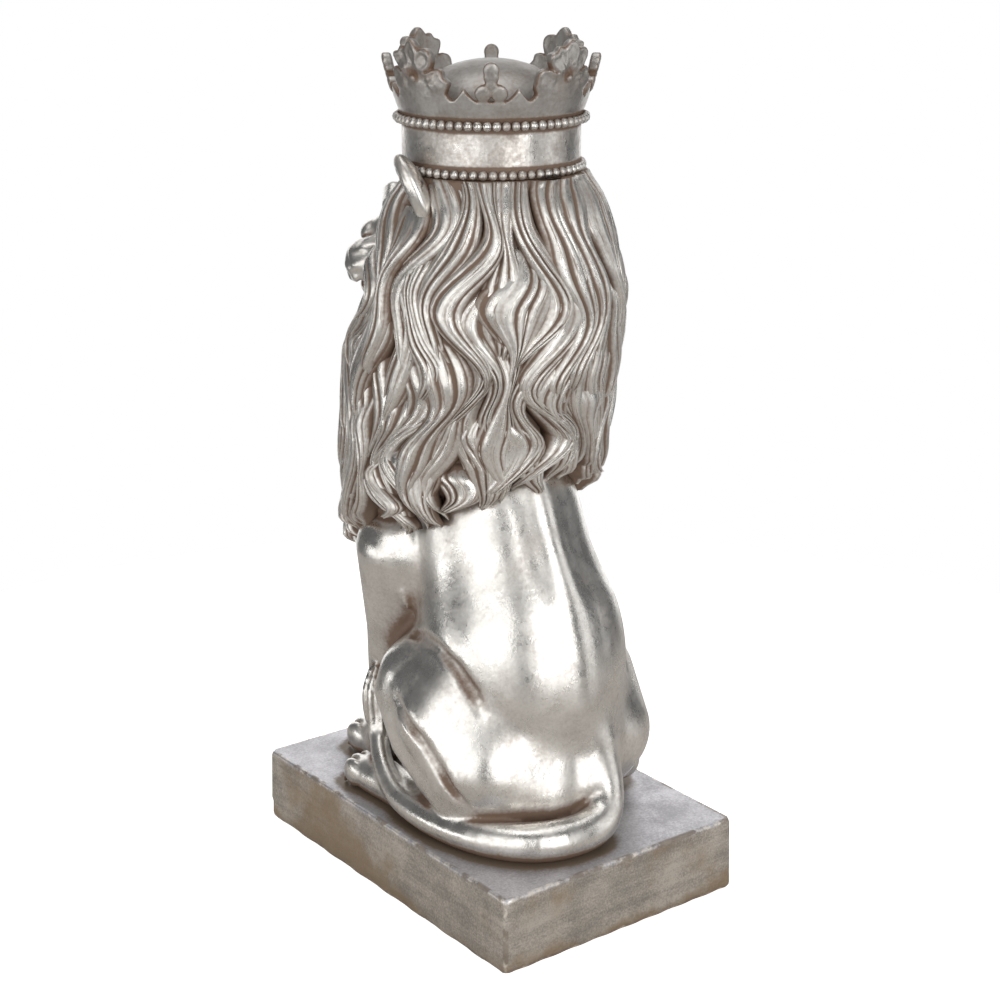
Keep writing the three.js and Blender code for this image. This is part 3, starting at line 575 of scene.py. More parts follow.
TAIL = [
    (-14, 74, 54, 12), (-13, 89, 30, 11.5), (-4, 98, 15, 11.5), (14, 101, 10.5, 11.5),
    (39, 94, 10, 11.5), (58, 72, 9.5, 10.5), (68, 39, 9, 9), (70, 6, 11, 7.5), (67, -14, 18, 6.6),
    (61, -30, 26, 6), (55, -40, 34, 6)]
TUFT = [(55, -40, 34, 6), (53, -44, 46, 8), (52, -46, 60, 8), (50, -48, 76, 3.5)]
TUFT_MIDDLE = (52, -45)
TUFT_FLUTES = 8
TAIL_ROOT = [(-14, 66, 72, 11), (-14, 78, 50, 13), (-12, 86, 32, 12.5)]


def rounded(stations, steps=4):
    """More stations on a smooth curve through the given ones."""
    ends = [stations[0], *stations, stations[-1]]
    curve = []
    for a, b, c, d in zip(ends, ends[1:], ends[2:], ends[3:]):
        for k in range(steps):
            t = k / steps
            curve.append(tuple(
                0.5 * (2 * b[i] + (c[i] - a[i]) * t + (2 * a[i] - 5 * b[i] + 4 * c[i] - d[i]) * t * t
                       + (3 * b[i] - a[i] - 3 * c[i] + d[i]) * t ** 3) for i in range(4)))
    return [*curve, stations[-1]]


def tail(p):
    x, y, z = p
    about = np.arctan2(y - TUFT_MIDDLE[1], x - TUFT_MIDDLE[0])
    flutes = np.cos(about * TUFT_FLUTES + z * 0.07) * 1.1 * ramp(30, 44, z)
    return blend(limb(p, rounded(TAIL)), limb(p, rounded(TUFT)) - flutes, 3)


# The head, in its own straight frame, with both halves alike


def face_place(p, turn):
    x, y, z = p
    return (x * math.cos(turn) + y * math.sin(turn), -x * math.sin(turn) + y * math.cos(turn), z)


# Eggs as a centre and radii, bars as stations. The other half mirrors them.
SKULL = ((0, -14, 338), (46, 47, 45))
CHEEK = ((25, -44, 317), (17, 20, 22))
SNOUT = [(0, -48, 322, 25), (0, -76, 313, 20)]
BRIDGE = [(0, -46, 352, 12), (0, -68, 342, 11), (0, -91, 327, 9)]
BROW = [(7, -57, 354, 6.5), (24, -54, 357, 6.5), (34, -46, 352, 5)]
JAW_BONE = [(0, -46, 300, 20), (0, -76, 302, 12)]
SOCKET = ((20, -63, 343), (9, 8, 6.5))
EYEBALL = ((19.5, -54.5, 343), (7, 6.2, 5.4))
PUPIL = ((19.5, -61.5, 343), (1.8, 2.2, 1.8))
LIDS = ((5.4, 1.9), (-4.8, 1.5))
LID_TURNS = (0.0, 0.52, 1.05, 1.57, 2.09, 2.62, 3.14)
NOSE_FOLDS = 3
WHISKERS = 3
MUZZLE = ((15, -85, 312), (16, 15, 15))
MOUTH = [(2, -99, 303, 1.7), (16, -94, 299, 2.0), (28, -80, 302, 2.2)]
LIP_SPLIT = [(0, -100, 316, 1.5), (0, -99, 304, 1.5)]
CHIN = ((0, -90, 297), (16, 12, 10))
NOSE = ((0, -94, 327), (13, 9, 8.5))
NOSTRIL = ((5.5, -101, 321), (2.6, 3, 2))


def skull(p):
    d = blend(egg(p, *SKULL), egg(p, *CHEEK), 8)
    for bar, soft in ((SNOUT, 8), (BRIDGE, 6), (BROW, 5), (JAW_BONE, 6)):
        d = blend(d, limb(p, bar), soft)
    return d


def with_eye(d, p):
    """The socket, the ball, both lids and the pupil."""
    d = carve(d, egg(p, *SOCKET), 4)
    d = blend(d, egg(p, *EYEBALL), 1.0)
    for rise, thick in LIDS:
        lid = [(19.5 - 8.6 * math.cos(t), -61.5 + 4.6 * (1 - math.sin(t)) * (t > 1.57) - 0.4,
                342.8 + rise * math.sin(t), thick * (0.55 + 0.45 * math.sin(t)))
               for t in LID_TURNS]
        d = blend(d, limb(p, lid), 1.0)
    return carve(d, egg(p, *PUPIL), 0.6)


def with_muzzle(d, p):
    """Folds beside the nose, rows of whisker pits, mouth, chin and nose."""
    for fold in range(NOSE_FOLDS):
        low = 349 - 5 * fold
        d = carve(d, limb(p, [(6 + 2 * fold, -66 - 6 * fold, low, 1.0),
                              (12 + 3 * fold, -63 - 6 * fold, low - 7, 1.0)]), 2.0)
    d = blend(d, egg(p, *MUZZLE), 2.5)
    for row in range(WHISKERS):
        for column in range(WHISKERS):
            spot = (15 + 4 * column, -98 + 2.2 * column + 1.2 * abs(row - 1), 308 + 4.5 * row)
            d = carve(d, egg(p, spot, (0.9, 1.6, 0.9)), 0.8)
    d = carve(carve(d, limb(p, MOUTH), 1.5), limb(p, LIP_SPLIT), 1.5)
    d = blend(blend(d, egg(p, *CHIN), 3), egg(p, *NOSE), 1.5)
    return carve(d, egg(p, *NOSTRIL), 1)


def coat(p):
    """Ripples of short fur, fading towards the brow and the nose."""
    lie = 0.9 * p[1] - 0.35 * p[2] + 2.0 * np.sin(0.17 * p[2] + 0.1 * p[0])
    ripple = np.sin(lie * 0.42) * np.sin(0.62 * p[2] + 0.25 * p[1] + 1.3 * np.sin(0.2 * p[1]))
    return 0.75 * ripple * ramp(338, 322, p[2]) * ramp(-99, -92, p[1])


def head(q):
    p = (np.abs(q[0]), q[1], q[2])
    return with_muzzle(with_eye(skull(p), p), p) - coat(p)


EAR_PLACE = (55, -3, 366)


def ear(q):
    """A leaning shell, hollow and lined with hair on the side that faces out."""
    x, y, z = np.abs(q[0]) - EAR_PLACE[0], q[1] - EAR_PLACE[1], q[2] - EAR_PLACE[2]
    out = 0.8 * x - 0.6 * y - z * 0.4
    wide = 0.6 * x + 0.8 * y
    turned = (out, wide, z)
    shell = egg(turned, (0, 0, 0), (8, 14.5, 20.5))
    hair = np.cos(wide * 1.9 + z * 0.12) * 0.5
    return carve(shell, egg(turned, (7.5, 0, 0), (6, 10, 15)) + hair, 2)


# The mane: a shell with a radius and a centre at each height, and a hem that falls from the
# nape to the breast. Strands leave the crown at an angle from the nape and sway as they fall.

MANE_RADIUS = [
    (100, 58), (150, 66), (198, 70), (240, 73), (270, 74), (319, 72), (345, 66), (362, 59),
    (378, 51)]
MANE_CENTRE = [(120, -26), (200, -21), (240, -15), (270, -8), (305, -1), (340, 0)]
MANE_HEM = [(0, 201), (20, 198), (40, 188), (72, 175), (100, 163), (150, 128), (180, 108)]
MANE_TOP = 381.0
CROWN_LINE = 372.0  # locks that start above this run out from under the crown
PARTING = 0.52
SWAY = 0.19  # how far the strands swing, as an angle
STRAY = 0.06
SWAY_LENGTH = 94.0
SWAY_TOP = 334.5
MEAN_RADIUS = 72.0
HEM_LIFT = 2.0  # how much prouder the locks at the hem stand
HEM_NEAR = 12.0
FACE_HALF = 0.86  # half the face's opening, as an angle
JAW = 296.0
BEARD_LEAST = 30.0  # how far under the jaw a lock of the breast has to reach
EAR_AT = 1.62
EAR_FRONT = 0.2
EAR_FOOT = 362.0
SHORTEST = 30.0
FEWEST_STRANDS = 4
MORE_STRANDS = 2.99
STRAND_POINTS = 5
LOCK_STEP = 3.2
FEWEST_ROWS = 18


def sway(start, z):
    """Angle from the nape that a strand has at a height."""
    turn = 2 * math.pi * (SWAY_TOP - z) / SWAY_LENGTH
    wide = SWAY * np.sin(3 * (start - PARTING)) * np.sin(turn)
    return start + wide + STRAY * np.sin(5 * start + 1.3) * np.sin(1.55 * turn + 2 * np.sin(start * 2))


def hem_height(angle):
    wrapped = np.abs((angle + math.pi) % (2 * math.pi) - math.pi)
    return along(MANE_HEM, np.degrees(wrapped), 6)


def opening(from_face, z):
    return ramp(1.12, 0.72, np.abs(from_face)) * ramp(292, 306, z)


def shell_radius(from_face, z):
    beard = ramp(1.25, 0.5, np.abs(from_face)) * ramp(225, 280, z)
    return along(MANE_RADIUS, z, 9) - 24 * opening(from_face, z) + 4 * beard


def shell_point(angle, z, proud, turn):
    """Points of the shell at an angle from the nape, standing proud by an amount."""
    centre = along(MANE_CENTRE, z, 9)
    x, y = np.sin(angle), np.cos(angle)
    from_face = np.arctan2(x * math.cos(turn) + y * math.sin(turn),
                           x * math.sin(turn) - y * math.cos(turn))
    radius = shell_radius(from_face, z) + proud
    return np.stack([x * radius, centre + y * radius, z], axis=-1)


def mane_core(p, turn):
    """The plain mass behind the locks."""
    x, y, z = p
    dy = y - along(MANE_CENTRE, z, 9)
    rho = np.sqrt(x * x + dy * dy)
    angle = np.arctan2(x, dy)
    face = face_place(p, turn)
    plain = shell_radius(np.arctan2(face[0], -face[1]), z) - 5.0 + 2.5 * ramp(364, 374, z)
    return carve((rho - plain) * 0.92, z - hem_height(angle) - 11, 8)


LEGS_TOP = 195.0


def whole_form(p, turn):
    """Body, legs, tail and the mass behind the locks, without the head."""
    mirrored = (np.abs(p[0]), p[1], p[2])
    d = torso(p)
    if np.min(p[2]) < LEGS_TOP:
        d = blend(d, forequarter(mirrored), 9)
        d = blend(d, hindquarter(mirrored), 16)
        d = carve(d, limb(mirrored, FLANK_FOLD), 5)
        d = blend(d, limb(p, TAIL_ROOT), 12)
        d = blend(d, tail(p), 2.5)
    return blend(d, mane_core(p, turn), 2)


def head_form(p, turn):
    face = face_place(p, turn)
    return blend(head(face), ear(face), 2)


def skinned(field, low, high, step):
    """Points and quads over the zero surface of a field, moved onto it."""
    axes = [np.arange(a, b + step, step, dtype=np.float32) for a, b in zip(low, high)]
    values = np.empty([len(a) for a in axes], np.float32)
    slab = 24
    for start in range(0, len(axes[2]), slab):
        part = np.meshgrid(axes[0], axes[1], axes[2][start:start + slab], indexing="ij")
        values[:, :, start:start + slab] = field(tuple(part))
    grid = openvdb.FloatGrid(3.0 * step)
    grid.copyFromArray(np.clip(values, -3.0 * step, 3.0 * step))
    points, quads = grid.convertToQuads(isovalue=0.0)
    points = np.asarray(points, np.float64) * step + np.asarray(low)
    quads = np.asarray(quads, np.int64)
    if volume_sign(points, quads) < 0:
        quads = quads[:, ::-1]
    for _ in range(2):
        distance = field(tuple(points.T))
        slope = field_slope(field, points, 0.4)
        size = np.maximum(np.sum(slope * slope, axis=1), 0.3)
        move = np.clip(distance / size, -0.6 * step, 0.6 * step)
        points -= slope * move[:, None]
    return points, quads


def field_slope(field, points, reach):
    columns = []
    for axis in range(3):
        offset = np.zeros(3)
        offset[axis] = reach
        after = field(tuple((points + offset).T))
        before = field(tuple((points - offset).T))
        columns.append((after - before) / (2 * reach))
    return np.stack(columns, axis=1)


def hollowness(field, points, step=2.6, reach=5):
    """How shut in each point is, from 0 in the open to about 1 in a groove."""
    # Sampled out along the normal as for ambient occlusion; through the wax mask it paints shade as
    # well as wax.
    slope = field_slope(field, points, 0.5)
    normal = slope / np.maximum(np.linalg.norm(slope, axis=1, keepdims=True), 1e-6)
    shut, weight = 0.0, 0.0
    for k in range(1, reach + 1):
        out = k * step
        free = field(tuple((points + normal * out).T))
        shut = shut + np.clip(out - free, 0.0, out * 1.4) / out * 0.8 ** k
        weight += 0.8 ** k
    return np.clip(shut / weight, 0.0, 1.0)


def to_row(points):
    """Lion millimetres above the plinth to metres in the row frame."""
    grown = np.asarray(points) * (FIGURE_HEIGHT / NOMINAL) * MM
    return grown + np.array([0.0, 0.0, PLINTH_TOP])


def scattered(count, seed):
    return np.random.default_rng(seed).random(count)


def lock(root, tip, start, width, sizes, chance):
    """One lock as arrays of angle from the nape, height and how proud it stands.

    It runs down the sway of the mane from root to tip. Its section is a low arch cut into a few
    strands of unlike width, closed by one line of points underneath.
    """
    strands = FEWEST_STRANDS + int(chance[0] * MORE_STRANDS)
    hem = float(hem_height(start))
    rows = max(FEWEST_ROWS, int((root - tip) / LOCK_STEP))
    s = np.linspace(0.0, 1.0, rows)[:, None]
    phase = np.linspace(0.0, strands, strands * STRAND_POINTS + 1)[None, :]
    even = 2.0 * phase / strands - 1.0
    inside = 1.0 - even * even
    c = even + inside * 0.2 * np.sin(2.2 * even + 6.28 * chance[5])
    c = c + inside * 0.14 * np.sin(3.6 * s + 6.28 * chance[1])
    swell = 0.66 + 0.34 * np.sin(math.pi * np.clip(s / 0.9, 0, 1) ** 0.7)
    if root > CROWN_LINE:
        swell = np.maximum(swell, 1.1 - 0.6 * s)
    half = 0.5 * width / MEAN_RADIUS * swell * (1.0 - s ** 3.0) ** 0.7
    wander = 0.075 * np.sin((4.2 + 3 * chance[4]) * s + 6.28 * chance[2]) * ramp(0, 0.35, s)
    curl = (chance[3] - 0.5) * 0.4 * ramp(0.62, 1.0, s)
    z = root + (tip - root) * s + 0 * c
    middle = start + wander + curl
    angle = sway(middle + c * half, z + 16 * (chance[7] - 0.5))
    arch = np.sqrt(np.clip(1.0 - c * c, 0, 1))
    sunk = ramp(-0.05, 0.3, s) if root < CROWN_LINE else 1.0
    crest = sunk * (1.0 - 0.7 * ramp(0.84, 1.0, s))
    ridge = np.abs(np.sin(math.pi * phase)) ** 0.6
    fading = ramp(0.0, 0.12, s) * (1 - ramp(0.92, 1.0, s)) if root < CROWN_LINE else 1.0
    unlike = 1.0 + 0.75 * np.sin(1.9 * np.round(phase) + 6.28 * chance[4] + 1.5 * s)
    cut = sizes["strand"] * unlike * (ridge - 1.0) * fading
    lift = 2.2 * ramp(0.3, 0.75, s) - 4.0 * ramp(0.84, 1.0, s) + 6.0 * (chance[5] - 0.5)
    lift = lift - 2.4 * ramp(358, 374, z) + HEM_LIFT * (tip < hem + HEM_NEAR)
    proud = sizes["relief"] * (arch * crest - 0.66) + lift + cut
    groove = (1.0 - ridge) ** 1.3 * unlike * fading + 0.7 * ramp(0.45, 1.0, np.abs(c)) ** 2
    under_angle = sway(middle, z[:, :1])
    under = -sizes["relief"] - 1.5 + 0 * z[:, :1]
    comb = phase + 7.0 * chance[6] + 0 * s
    return [np.concatenate(pair, axis=1) for pair in (
        (angle, under_angle), (z, z[:, :1]), (proud, under), (groove, 1 + 0 * under),
        (comb, 0 * under))]


def lock_faces(rows, wide):
    """Faces of a lock: quads round its section, and one at each end."""
    index = np.arange(rows * wide).reshape(rows, wide)
    side = np.roll(index, -1, axis=1)
    quads = np.stack([index[:-1], index[1:], side[1:], side[:-1]], axis=-1).reshape(-1, 4)
    return quads.tolist() + [index[0].tolist(), index[-1, ::-1].tolist()]


def mane_plan(sizes, turn):
    """Where each lock starts and ends: (row, root, tip, start, width, chance)."""
    pitch = 2 * math.pi / sizes["columns"]
    for row in range(sizes["rows"]):
        for column in range(sizes["columns"]):
            chance = scattered(8, sizes["seed"] + 97 * row + 1009 * column)
            start = (column + 0.5 * (row % 2) + 0.3 * (chance[6] - 0.5)) * pitch
            root = MANE_TOP - row * sizes["step"] - 16 * chance[7]
            if row == 0:
                root = NOMINAL - 0.5
            hem = float(hem_height(start))
            tip = max(root - sizes["length"] * (0.8 + 0.4 * chance[1]), hem - 4 + 9 * chance[2])
            from_face = abs((start + turn) % (2 * math.pi) - math.pi)
            if from_face < FACE_HALF:
                if tip > JAW - BEARD_LEAST:
                    continue
                root = min(root, JAW + 8 - 5 * chance[3])
            elif EAR_AT - EAR_FRONT < from_face < EAR_AT:
                root = min(root, EAR_FOOT - 6 * chance[3])
            if root - tip < SHORTEST:
                continue
            yield row, root, tip, start, sizes["width"] * (0.8 + 0.45 * chance[0]), chance


def height_map(locks):
    """How proud the mane stands round the nape and up, smoothed, and each lock's cells in it."""
    cells, tall, low = 300, 150, 90.0
    grid = np.full((cells, tall), -9.0)
    rows = [np.round(one[0] / (2 * math.pi) * cells).astype(int) % cells for one in locks]
    columns = [np.clip((one[1] - low) / 2.0, 0, tall - 1).astype(int) for one in locks]
    for i, j, one in zip(rows, columns, locks):
        np.maximum.at(grid, (i, j), one[2])
    for axis in (0, 1):
        shifted = [np.roll(grid, k, axis) for k in (-3, -2, -1, 0, 1, 2, 3)]
        grid = sum(shifted) / len(shifted)
    return grid, rows, columns


def mane_locks(sizes, turn):
    """All locks, gathered by row: [(points, faces, hollow, comb), ...]."""
    plan = list(mane_plan(sizes, turn))
    locks = [lock(root, tip, start, width, sizes, chance)
             for _, root, tip, start, width, chance in plan]
    level, cells, heights = height_map(locks)
    gathered = [[] for _ in range(sizes["rows"])]
    for number, (arrays, entry) in enumerate(zip(locks, plan)):
        angle, z, proud, groove, comb = arrays
        points = shell_point(angle, z, proud, turn)
        # Painted shade: a lock that lies below its neighbours, and the grooves between strands, get
        # the wax colour for their shade as well as for wax.
        below = level[cells[number], heights[number]] - proud
        hollow = np.clip(0.7 * groove + 1.15 * ramp(0.0, 4.0, below), 0.0, 1.0)
        faces = lock_faces(*angle.shape)
        gathered[entry[0]].append((points.reshape(-1, 3), faces, hollow.ravel(), comb.ravel()))
    return gathered


# The crown


# Leaf and sprig shapes as discs (across, over the upper beads, radius), in millimetres
LEAF_DISCS = np.array([
    (0, 36.4, 7.2), (7.4, 33.4, 6.8), (-7.4, 33.4, 6.8), (14, 22.5, 7), (-14, 22.5, 7),
    (12, 13, 7), (-12, 13, 7), (0, 20, 12.5)])
SPRIG_DISCS = np.array([
    (0, 29.6, 4.4), (0, 26, 4.1), (0, 22, 3.4), (4.3, 17.4, 4.6), (-4.3, 17.4, 4.6)])
LEAF_MIDDLE = 22.0
PEARL_HEIGHT = 24.0
LEAF_FOOT = 14.5
CUSP_PLACE = 0.27
CUSP_HALF = 7.6
CUSP_RISE = 7.0
CAP_FOOT = 6.0
UPPER_OUT = 0.0024  # from the band's face to the middle of an upper bead, in metres
LOWER_OUT = 0.0008


def rim_radius(sizes, up):
    """Outer radius of the rim at a height over the upper beads."""
    t = np.clip(up / sizes["leaf_height"], 0.0, 1.1)
    return sizes["band"] + sizes["rim_flare"] * t * (1.5 - 0.5 * t)


def discs_field(discs, across, up, soft):
    d = None
    for x, z, radius in discs:
        one = np.hypot(across - x, up - z) - radius
        d = one if d is None else blend(d, one, soft)
    return d


def rim_plate(from_leaf, across, sprig_across, up, sizes):
    """The rim laid flat: its notches and cusps, the leaves and the sprigs."""
    from_sprig = math.pi / sizes["leaves"] - np.abs(from_leaf)
    cusp = 1 - np.abs(from_sprig - CUSP_PLACE) * sizes["band"] / CUSP_HALF
    sweep = np.clip((LEAF_FOOT + 8 - np.abs(across)) / 8, 0, 1)
    top = sizes["rim_height"] + CUSP_RISE * np.clip(cusp, 0, 1) ** 2.0 + 6 * sweep * sweep
    about = np.arctan2(up - LEAF_MIDDLE, across)
    crinkle = 0.85 * np.cos(13 * about + 1.6 * np.sin(3 * about)) * ramp(16, 24, up)
    plate = blend((up - top) * 0.7, discs_field(LEAF_DISCS, across, up, 1.2) - crinkle, 2.0)
    return blend(plate, discs_field(SPRIG_DISCS, sprig_across, up, 0.8), 1.2)


def rim_relief(across, sprig_across, up, plate):
    """How far the veins, dents, rolled edges and knobs stand off the rim."""
    about = np.arctan2(up - LEAF_MIDDLE, across)
    leafy = ramp(15, 24, up) * (1 - ramp(20, 26, np.abs(across)))
    spoke = np.cos(5 * about + 0.6) * ramp(3, 10, np.hypot(across, up - LEAF_MIDDLE))
    dents = np.sin(0.42 * across + 1.3) * np.sin(0.36 * up + 0.5)
    swell = 0.8 * (1 - ramp(1.5, 5, -plate)) * ramp(0.2, 1.6, -plate)
    knob = discs_field(SPRIG_DISCS, sprig_across, up, 0.3)
    knobs = 0.9 * ramp(0.6, -2.6, knob) * ramp(12.5, 14.5, up)
    return leafy * (0.4 * spoke + 0.6 * dents + swell) + knobs


def band_and_cap(p, sizes):
    x, y, up = p
    low = -sizes["band_height"] - sizes["bead"] / 2
    band = np.maximum(np.maximum(np.hypot(x, y) - sizes["band"], up - CAP_FOOT), low - up)
    rise = sizes["cap_rise"] - CAP_FOOT
    dome = np.maximum(egg(p, (0, 0, CAP_FOOT), (sizes["cap"], sizes["cap"], rise)), low - up)
    return np.minimum(band, dome)


def crown_field(p, sizes):
    """The crown in its own frame, heights over the upper beads, millimetres."""
    x, y, up = p
    rho = np.hypot(x, y)
    sector = 2 * math.pi / sizes["leaves"]
    angle = np.arctan2(y, x)
    from_leaf = angle - np.round(angle / sector) * sector
    outer = rim_radius(sizes, up)
    across = from_leaf * outer
    sprig_across = (np.abs(from_leaf) - sector / 2) * outer
    plate = rim_plate(from_leaf, across, sprig_across, up, sizes)
    relief = rim_relief(across, sprig_across, up, plate)
    slab = np.maximum(rho - outer - relief, outer - sizes["wall"] - rho - 0.3 * relief)
    slab = np.maximum(slab, -up - 3.0)
    wall = -blend(-slab, -plate, 1.1)
    pearl = np.sqrt(across ** 2 + (up - PEARL_HEIGHT) ** 2 + (rho - outer - 0.4) ** 2) - 2.0
    return blend(band_and_cap(p, sizes), blend(wall, pearl, 0.5), 1.0)


def crown_hollow(points, field, sizes):
    """Wax and painted shade in the crown's grooves and round both rows of beads."""
    rho, up = np.hypot(points[:, 0], points[:, 1]), points[:, 2]
    near_beads = np.minimum(np.abs(up), np.abs(up + sizes["band_height"]))
    outer = rho > sizes["band"] - 2.0
    # Painted shade on the band along both rows of beads, where they meet it.
    ring = np.where(outer, 0.8 * (1 - ramp(2.3, 5.2, near_beads)), 0.0)
    return np.clip(np.maximum(ring, 1.1 * hollowness(field, points, 1.3)), 0.0, 1.0)


def crown_dull(points, sizes):
    """1 on the cap and inside the rim, where the leaf was never burnished."""
    rho, up = np.hypot(points[:, 0], points[:, 1]), points[:, 2]
    inside = ramp(-0.5, -2.0, rho - rim_radius(sizes, up)) * ramp(-1.0, 3.0, up)
    return np.maximum(0.9 * inside, 0.62 * ramp(1.5, 7.0, up))


def joined(parts):
    """Parts of (points, faces, hollow, comb) as one."""
    faces, count = [], 0
    for part in parts:
        faces += [[v + count for v in face] for face in part[1]]
        count += len(part[0])
    points, hollow, comb = (np.concatenate([part[k] for part in parts]) for k in (0, 2, 3))
    return points, faces, hollow, comb


def bead_tree(material):
    """Geometry nodes: round beads on a ring, each a little different, as real faces."""
    tree = bpy.data.node_groups.new("Row of beads", "GeometryNodeTree")
    face = tree.interface
    face.new_socket("Geometry", in_out="INPUT", socket_type="NodeSocketGeometry")
    for label, kind in (("Count", "Int"), ("Ring radius", "Float"), ("Bead radius", "Float"),
                        ("Height", "Float"), ("Seed", "Int")):
        face.new_socket(label, in_out="INPUT", socket_type="NodeSocket" + kind)
    face.new_socket("Geometry", in_out="OUTPUT", socket_type="NodeSocketGeometry")
    given = tree.nodes.new("NodeGroupInput").outputs
    ring = put(tree, "GeometryNodeMeshCircle", Vertices=given["Count"], Radius=given["Ring radius"])
    raised = put(tree, "ShaderNodeCombineXYZ", Z=given["Height"])
    moved = put(tree, "GeometryNodeTransform", Geometry=ring.outputs["Mesh"],
                Translation=raised.outputs[0])
    ball = put(tree, "GeometryNodeMeshUVSphere", Segments=10, Rings=6, Radius=given["Bead radius"])
    size = put(tree, "FunctionNodeRandomValue", {"data_type": "FLOAT"})
    size.inputs[2].default_value = 0.93
    size.inputs[3].default_value = 1.05
    tree.links.new(given["Seed"], size.inputs["Seed"])
    spread = put(tree, "GeometryNodeInstanceOnPoints", Points=moved.outputs[0],
                 Instance=ball.outputs["Mesh"], Scale=size.outputs[1])
    real = put(tree, "GeometryNodeRealizeInstances", Geometry=spread.outputs[0])
    shaded = put(tree, "GeometryNodeSetShadeSmooth", Geometry=real.outputs[0])
    dressed = put(tree, "GeometryNodeSetMaterial", Geometry=shaded.outputs[0])
    dressed.inputs["Material"].default_value = material
    result = tree.nodes.new("NodeGroupOutput")
    tree.links.new(dressed.outputs[0], result.inputs[0])
    return tree


def bead_row(name, tree, values, material):
    """One row of beads as a plain mesh at the origin."""
    carrier = bpy.data.objects.new(name + "_carrier", bpy.data.meshes.new(name + "_carrier"))
    bpy.context.collection.objects.link(carrier)
    modifier = carrier.modifiers.new("beads", "NODES")
    modifier.node_group = tree
    for item in tree.interface.items_tree:
        if item.in_out == "INPUT" and item.name in values:
            modifier[item.identifier] = values[item.name]
    evaluated = carrier.evaluated_get(bpy.context.evaluated_depsgraph_get())
    mesh = bpy.data.meshes.new_from_object(evaluated)
    mesh.name = name
    bpy.data.objects.remove(carrier)
    place = np.empty(len(mesh.vertices) * 3)
    mesh.vertices.foreach_get("co", place)
    place = place.reshape(-1, 3)
    # Painted shade: the inner side of each bead, against the band, and the gaps between beads get the
    # hollow mask.
    inward = values["Ring radius"] - np.hypot(place[:, 0], place[:, 1])
    gap = np.abs(np.sin(0.5 * values["Count"] * np.arctan2(place[:, 1], place[:, 0])))
    shut = inward / values["Bead radius"] + 0.45 * ramp(0.55, 1.0, gap)
    layer = mesh.attributes.new("hollow", "FLOAT", "POINT")
    layer.data.foreach_set("value", np.clip(shut, 0, 1).astype(np.float32))
    if not mesh.materials:
        mesh.materials.append(material)
    piece = bpy.data.objects.new(name, mesh)
    bpy.context.collection.objects.link(piece)
    return piece


def turned_up(points, angle, lift):
    """Points turned about Z and lifted."""
    x, y, z = np.asarray(points).T
    c, s = math.cos(angle), math.sin(angle)
    return np.stack([c * x - s * y, s * x + c * y, z + lift], axis=1)


# The plinth


PLINTH_STEPS = (60, 88, 18)
CROWDING = 1.35  # how much closer the steps lie near an edge
FOOT_BAND = 0.012
FOOT_ROUND = 0.0008
WORN_WITHIN = 0.004


def crowded(count):
    """Places from -1 to 1, closer together near both ends."""
    t = np.linspace(-1, 1, count + 1)
    return np.sign(t) * (1 - (1 - np.abs(t)) ** CROWDING)


def cube_skin(half):
    """Points and quads over a block of a half size, each point once."""
    points, quads, base = [], [], 0
    for axis in range(3):
        u, v = [a for a in range(3) if a != axis]
        us, vs = crowded(PLINTH_STEPS[u]), crowded(PLINTH_STEPS[v])
        for sign in (-1, 1):
            grid = np.zeros((len(us), len(vs), 3))
            grid[..., u] = us[:, None]
            grid[..., v] = vs[None, :]
            grid[..., axis] = sign
            index = base + np.arange(len(us) * len(vs)).reshape(len(us), len(vs))
            sheet = np.stack([index[:-1, :-1], index[1:, :-1], index[1:, 1:], index[:-1, 1:]], -1)
            sheet = sheet.reshape(-1, 4)
            if (sign > 0) == (axis == 1):
                sheet = sheet[:, ::-1]
            points.append(grid.reshape(-1, 3) * half)
            quads.append(sheet)
            base += len(us) * len(vs)
    points, quads = np.concatenate(points), np.concatenate(quads)
    _, first, back = np.unique(np.round(points, 7), axis=0, return_index=True,
                               return_inverse=True)
    return points[first], back.reshape(-1)[quads]


def plinth_grid(sizes, height):
    """A slab with rounded edges, worn at the foot. Gives points, quads and nearness to an edge."""
    half = np.array([sizes.width / 2, sizes.length / 2, height / 2])
    points, quads = cube_skin(half)
    gap = half - np.abs(points)
    near = np.sort(gap, axis=1)[:, 1]
    low_edge = (points[:, 2] < 0) & (gap[:, 2] < FOOT_BAND)
    jitter = 0.5 + 0.5 * np.sin(points[:, 0] * 331 + 1.7 * np.sin(points[:, 1] * 210))
    worn = sizes.wear * jitter * low_edge
    radius = sizes.arris + FOOT_ROUND * low_edge
    inner = half - np.where(gap[:, :2].max(1) < sizes.corner, sizes.corner, radius)[:, None]
    core = np.clip(points, -inner, inner)
    offset = points - core
    size = np.linalg.norm(offset, axis=1)
    reach = (half - inner).max(axis=1)
    bent = size > 1e-9
    points[bent] = core[bent] + offset[bent] / size[bent][:, None] * reach[bent][:, None]
    points[:, :2] -= np.sign(points[:, :2]) * (worn * (near < WORN_WITHIN))[:, None]
    lean = sizes.draft * (points[:, 2] / height + 0.5)
    points[:, :2] -= np.sign(points[:, :2]) * lean[:, None] * (np.abs(points[:, :2]) > 0.02)
    points[:, 2] += height / 2
    return points, quads, 1 - ramp(0.0006, 0.006, near)


# Operators


# Lowest and highest corner that each form is sampled in, in the lion's millimetres
BODY_BOX = ((-90, -118, -8), (92, 116, 382))
HEAD_BOX = ((-78, -112, 276), (80, 44, 392))


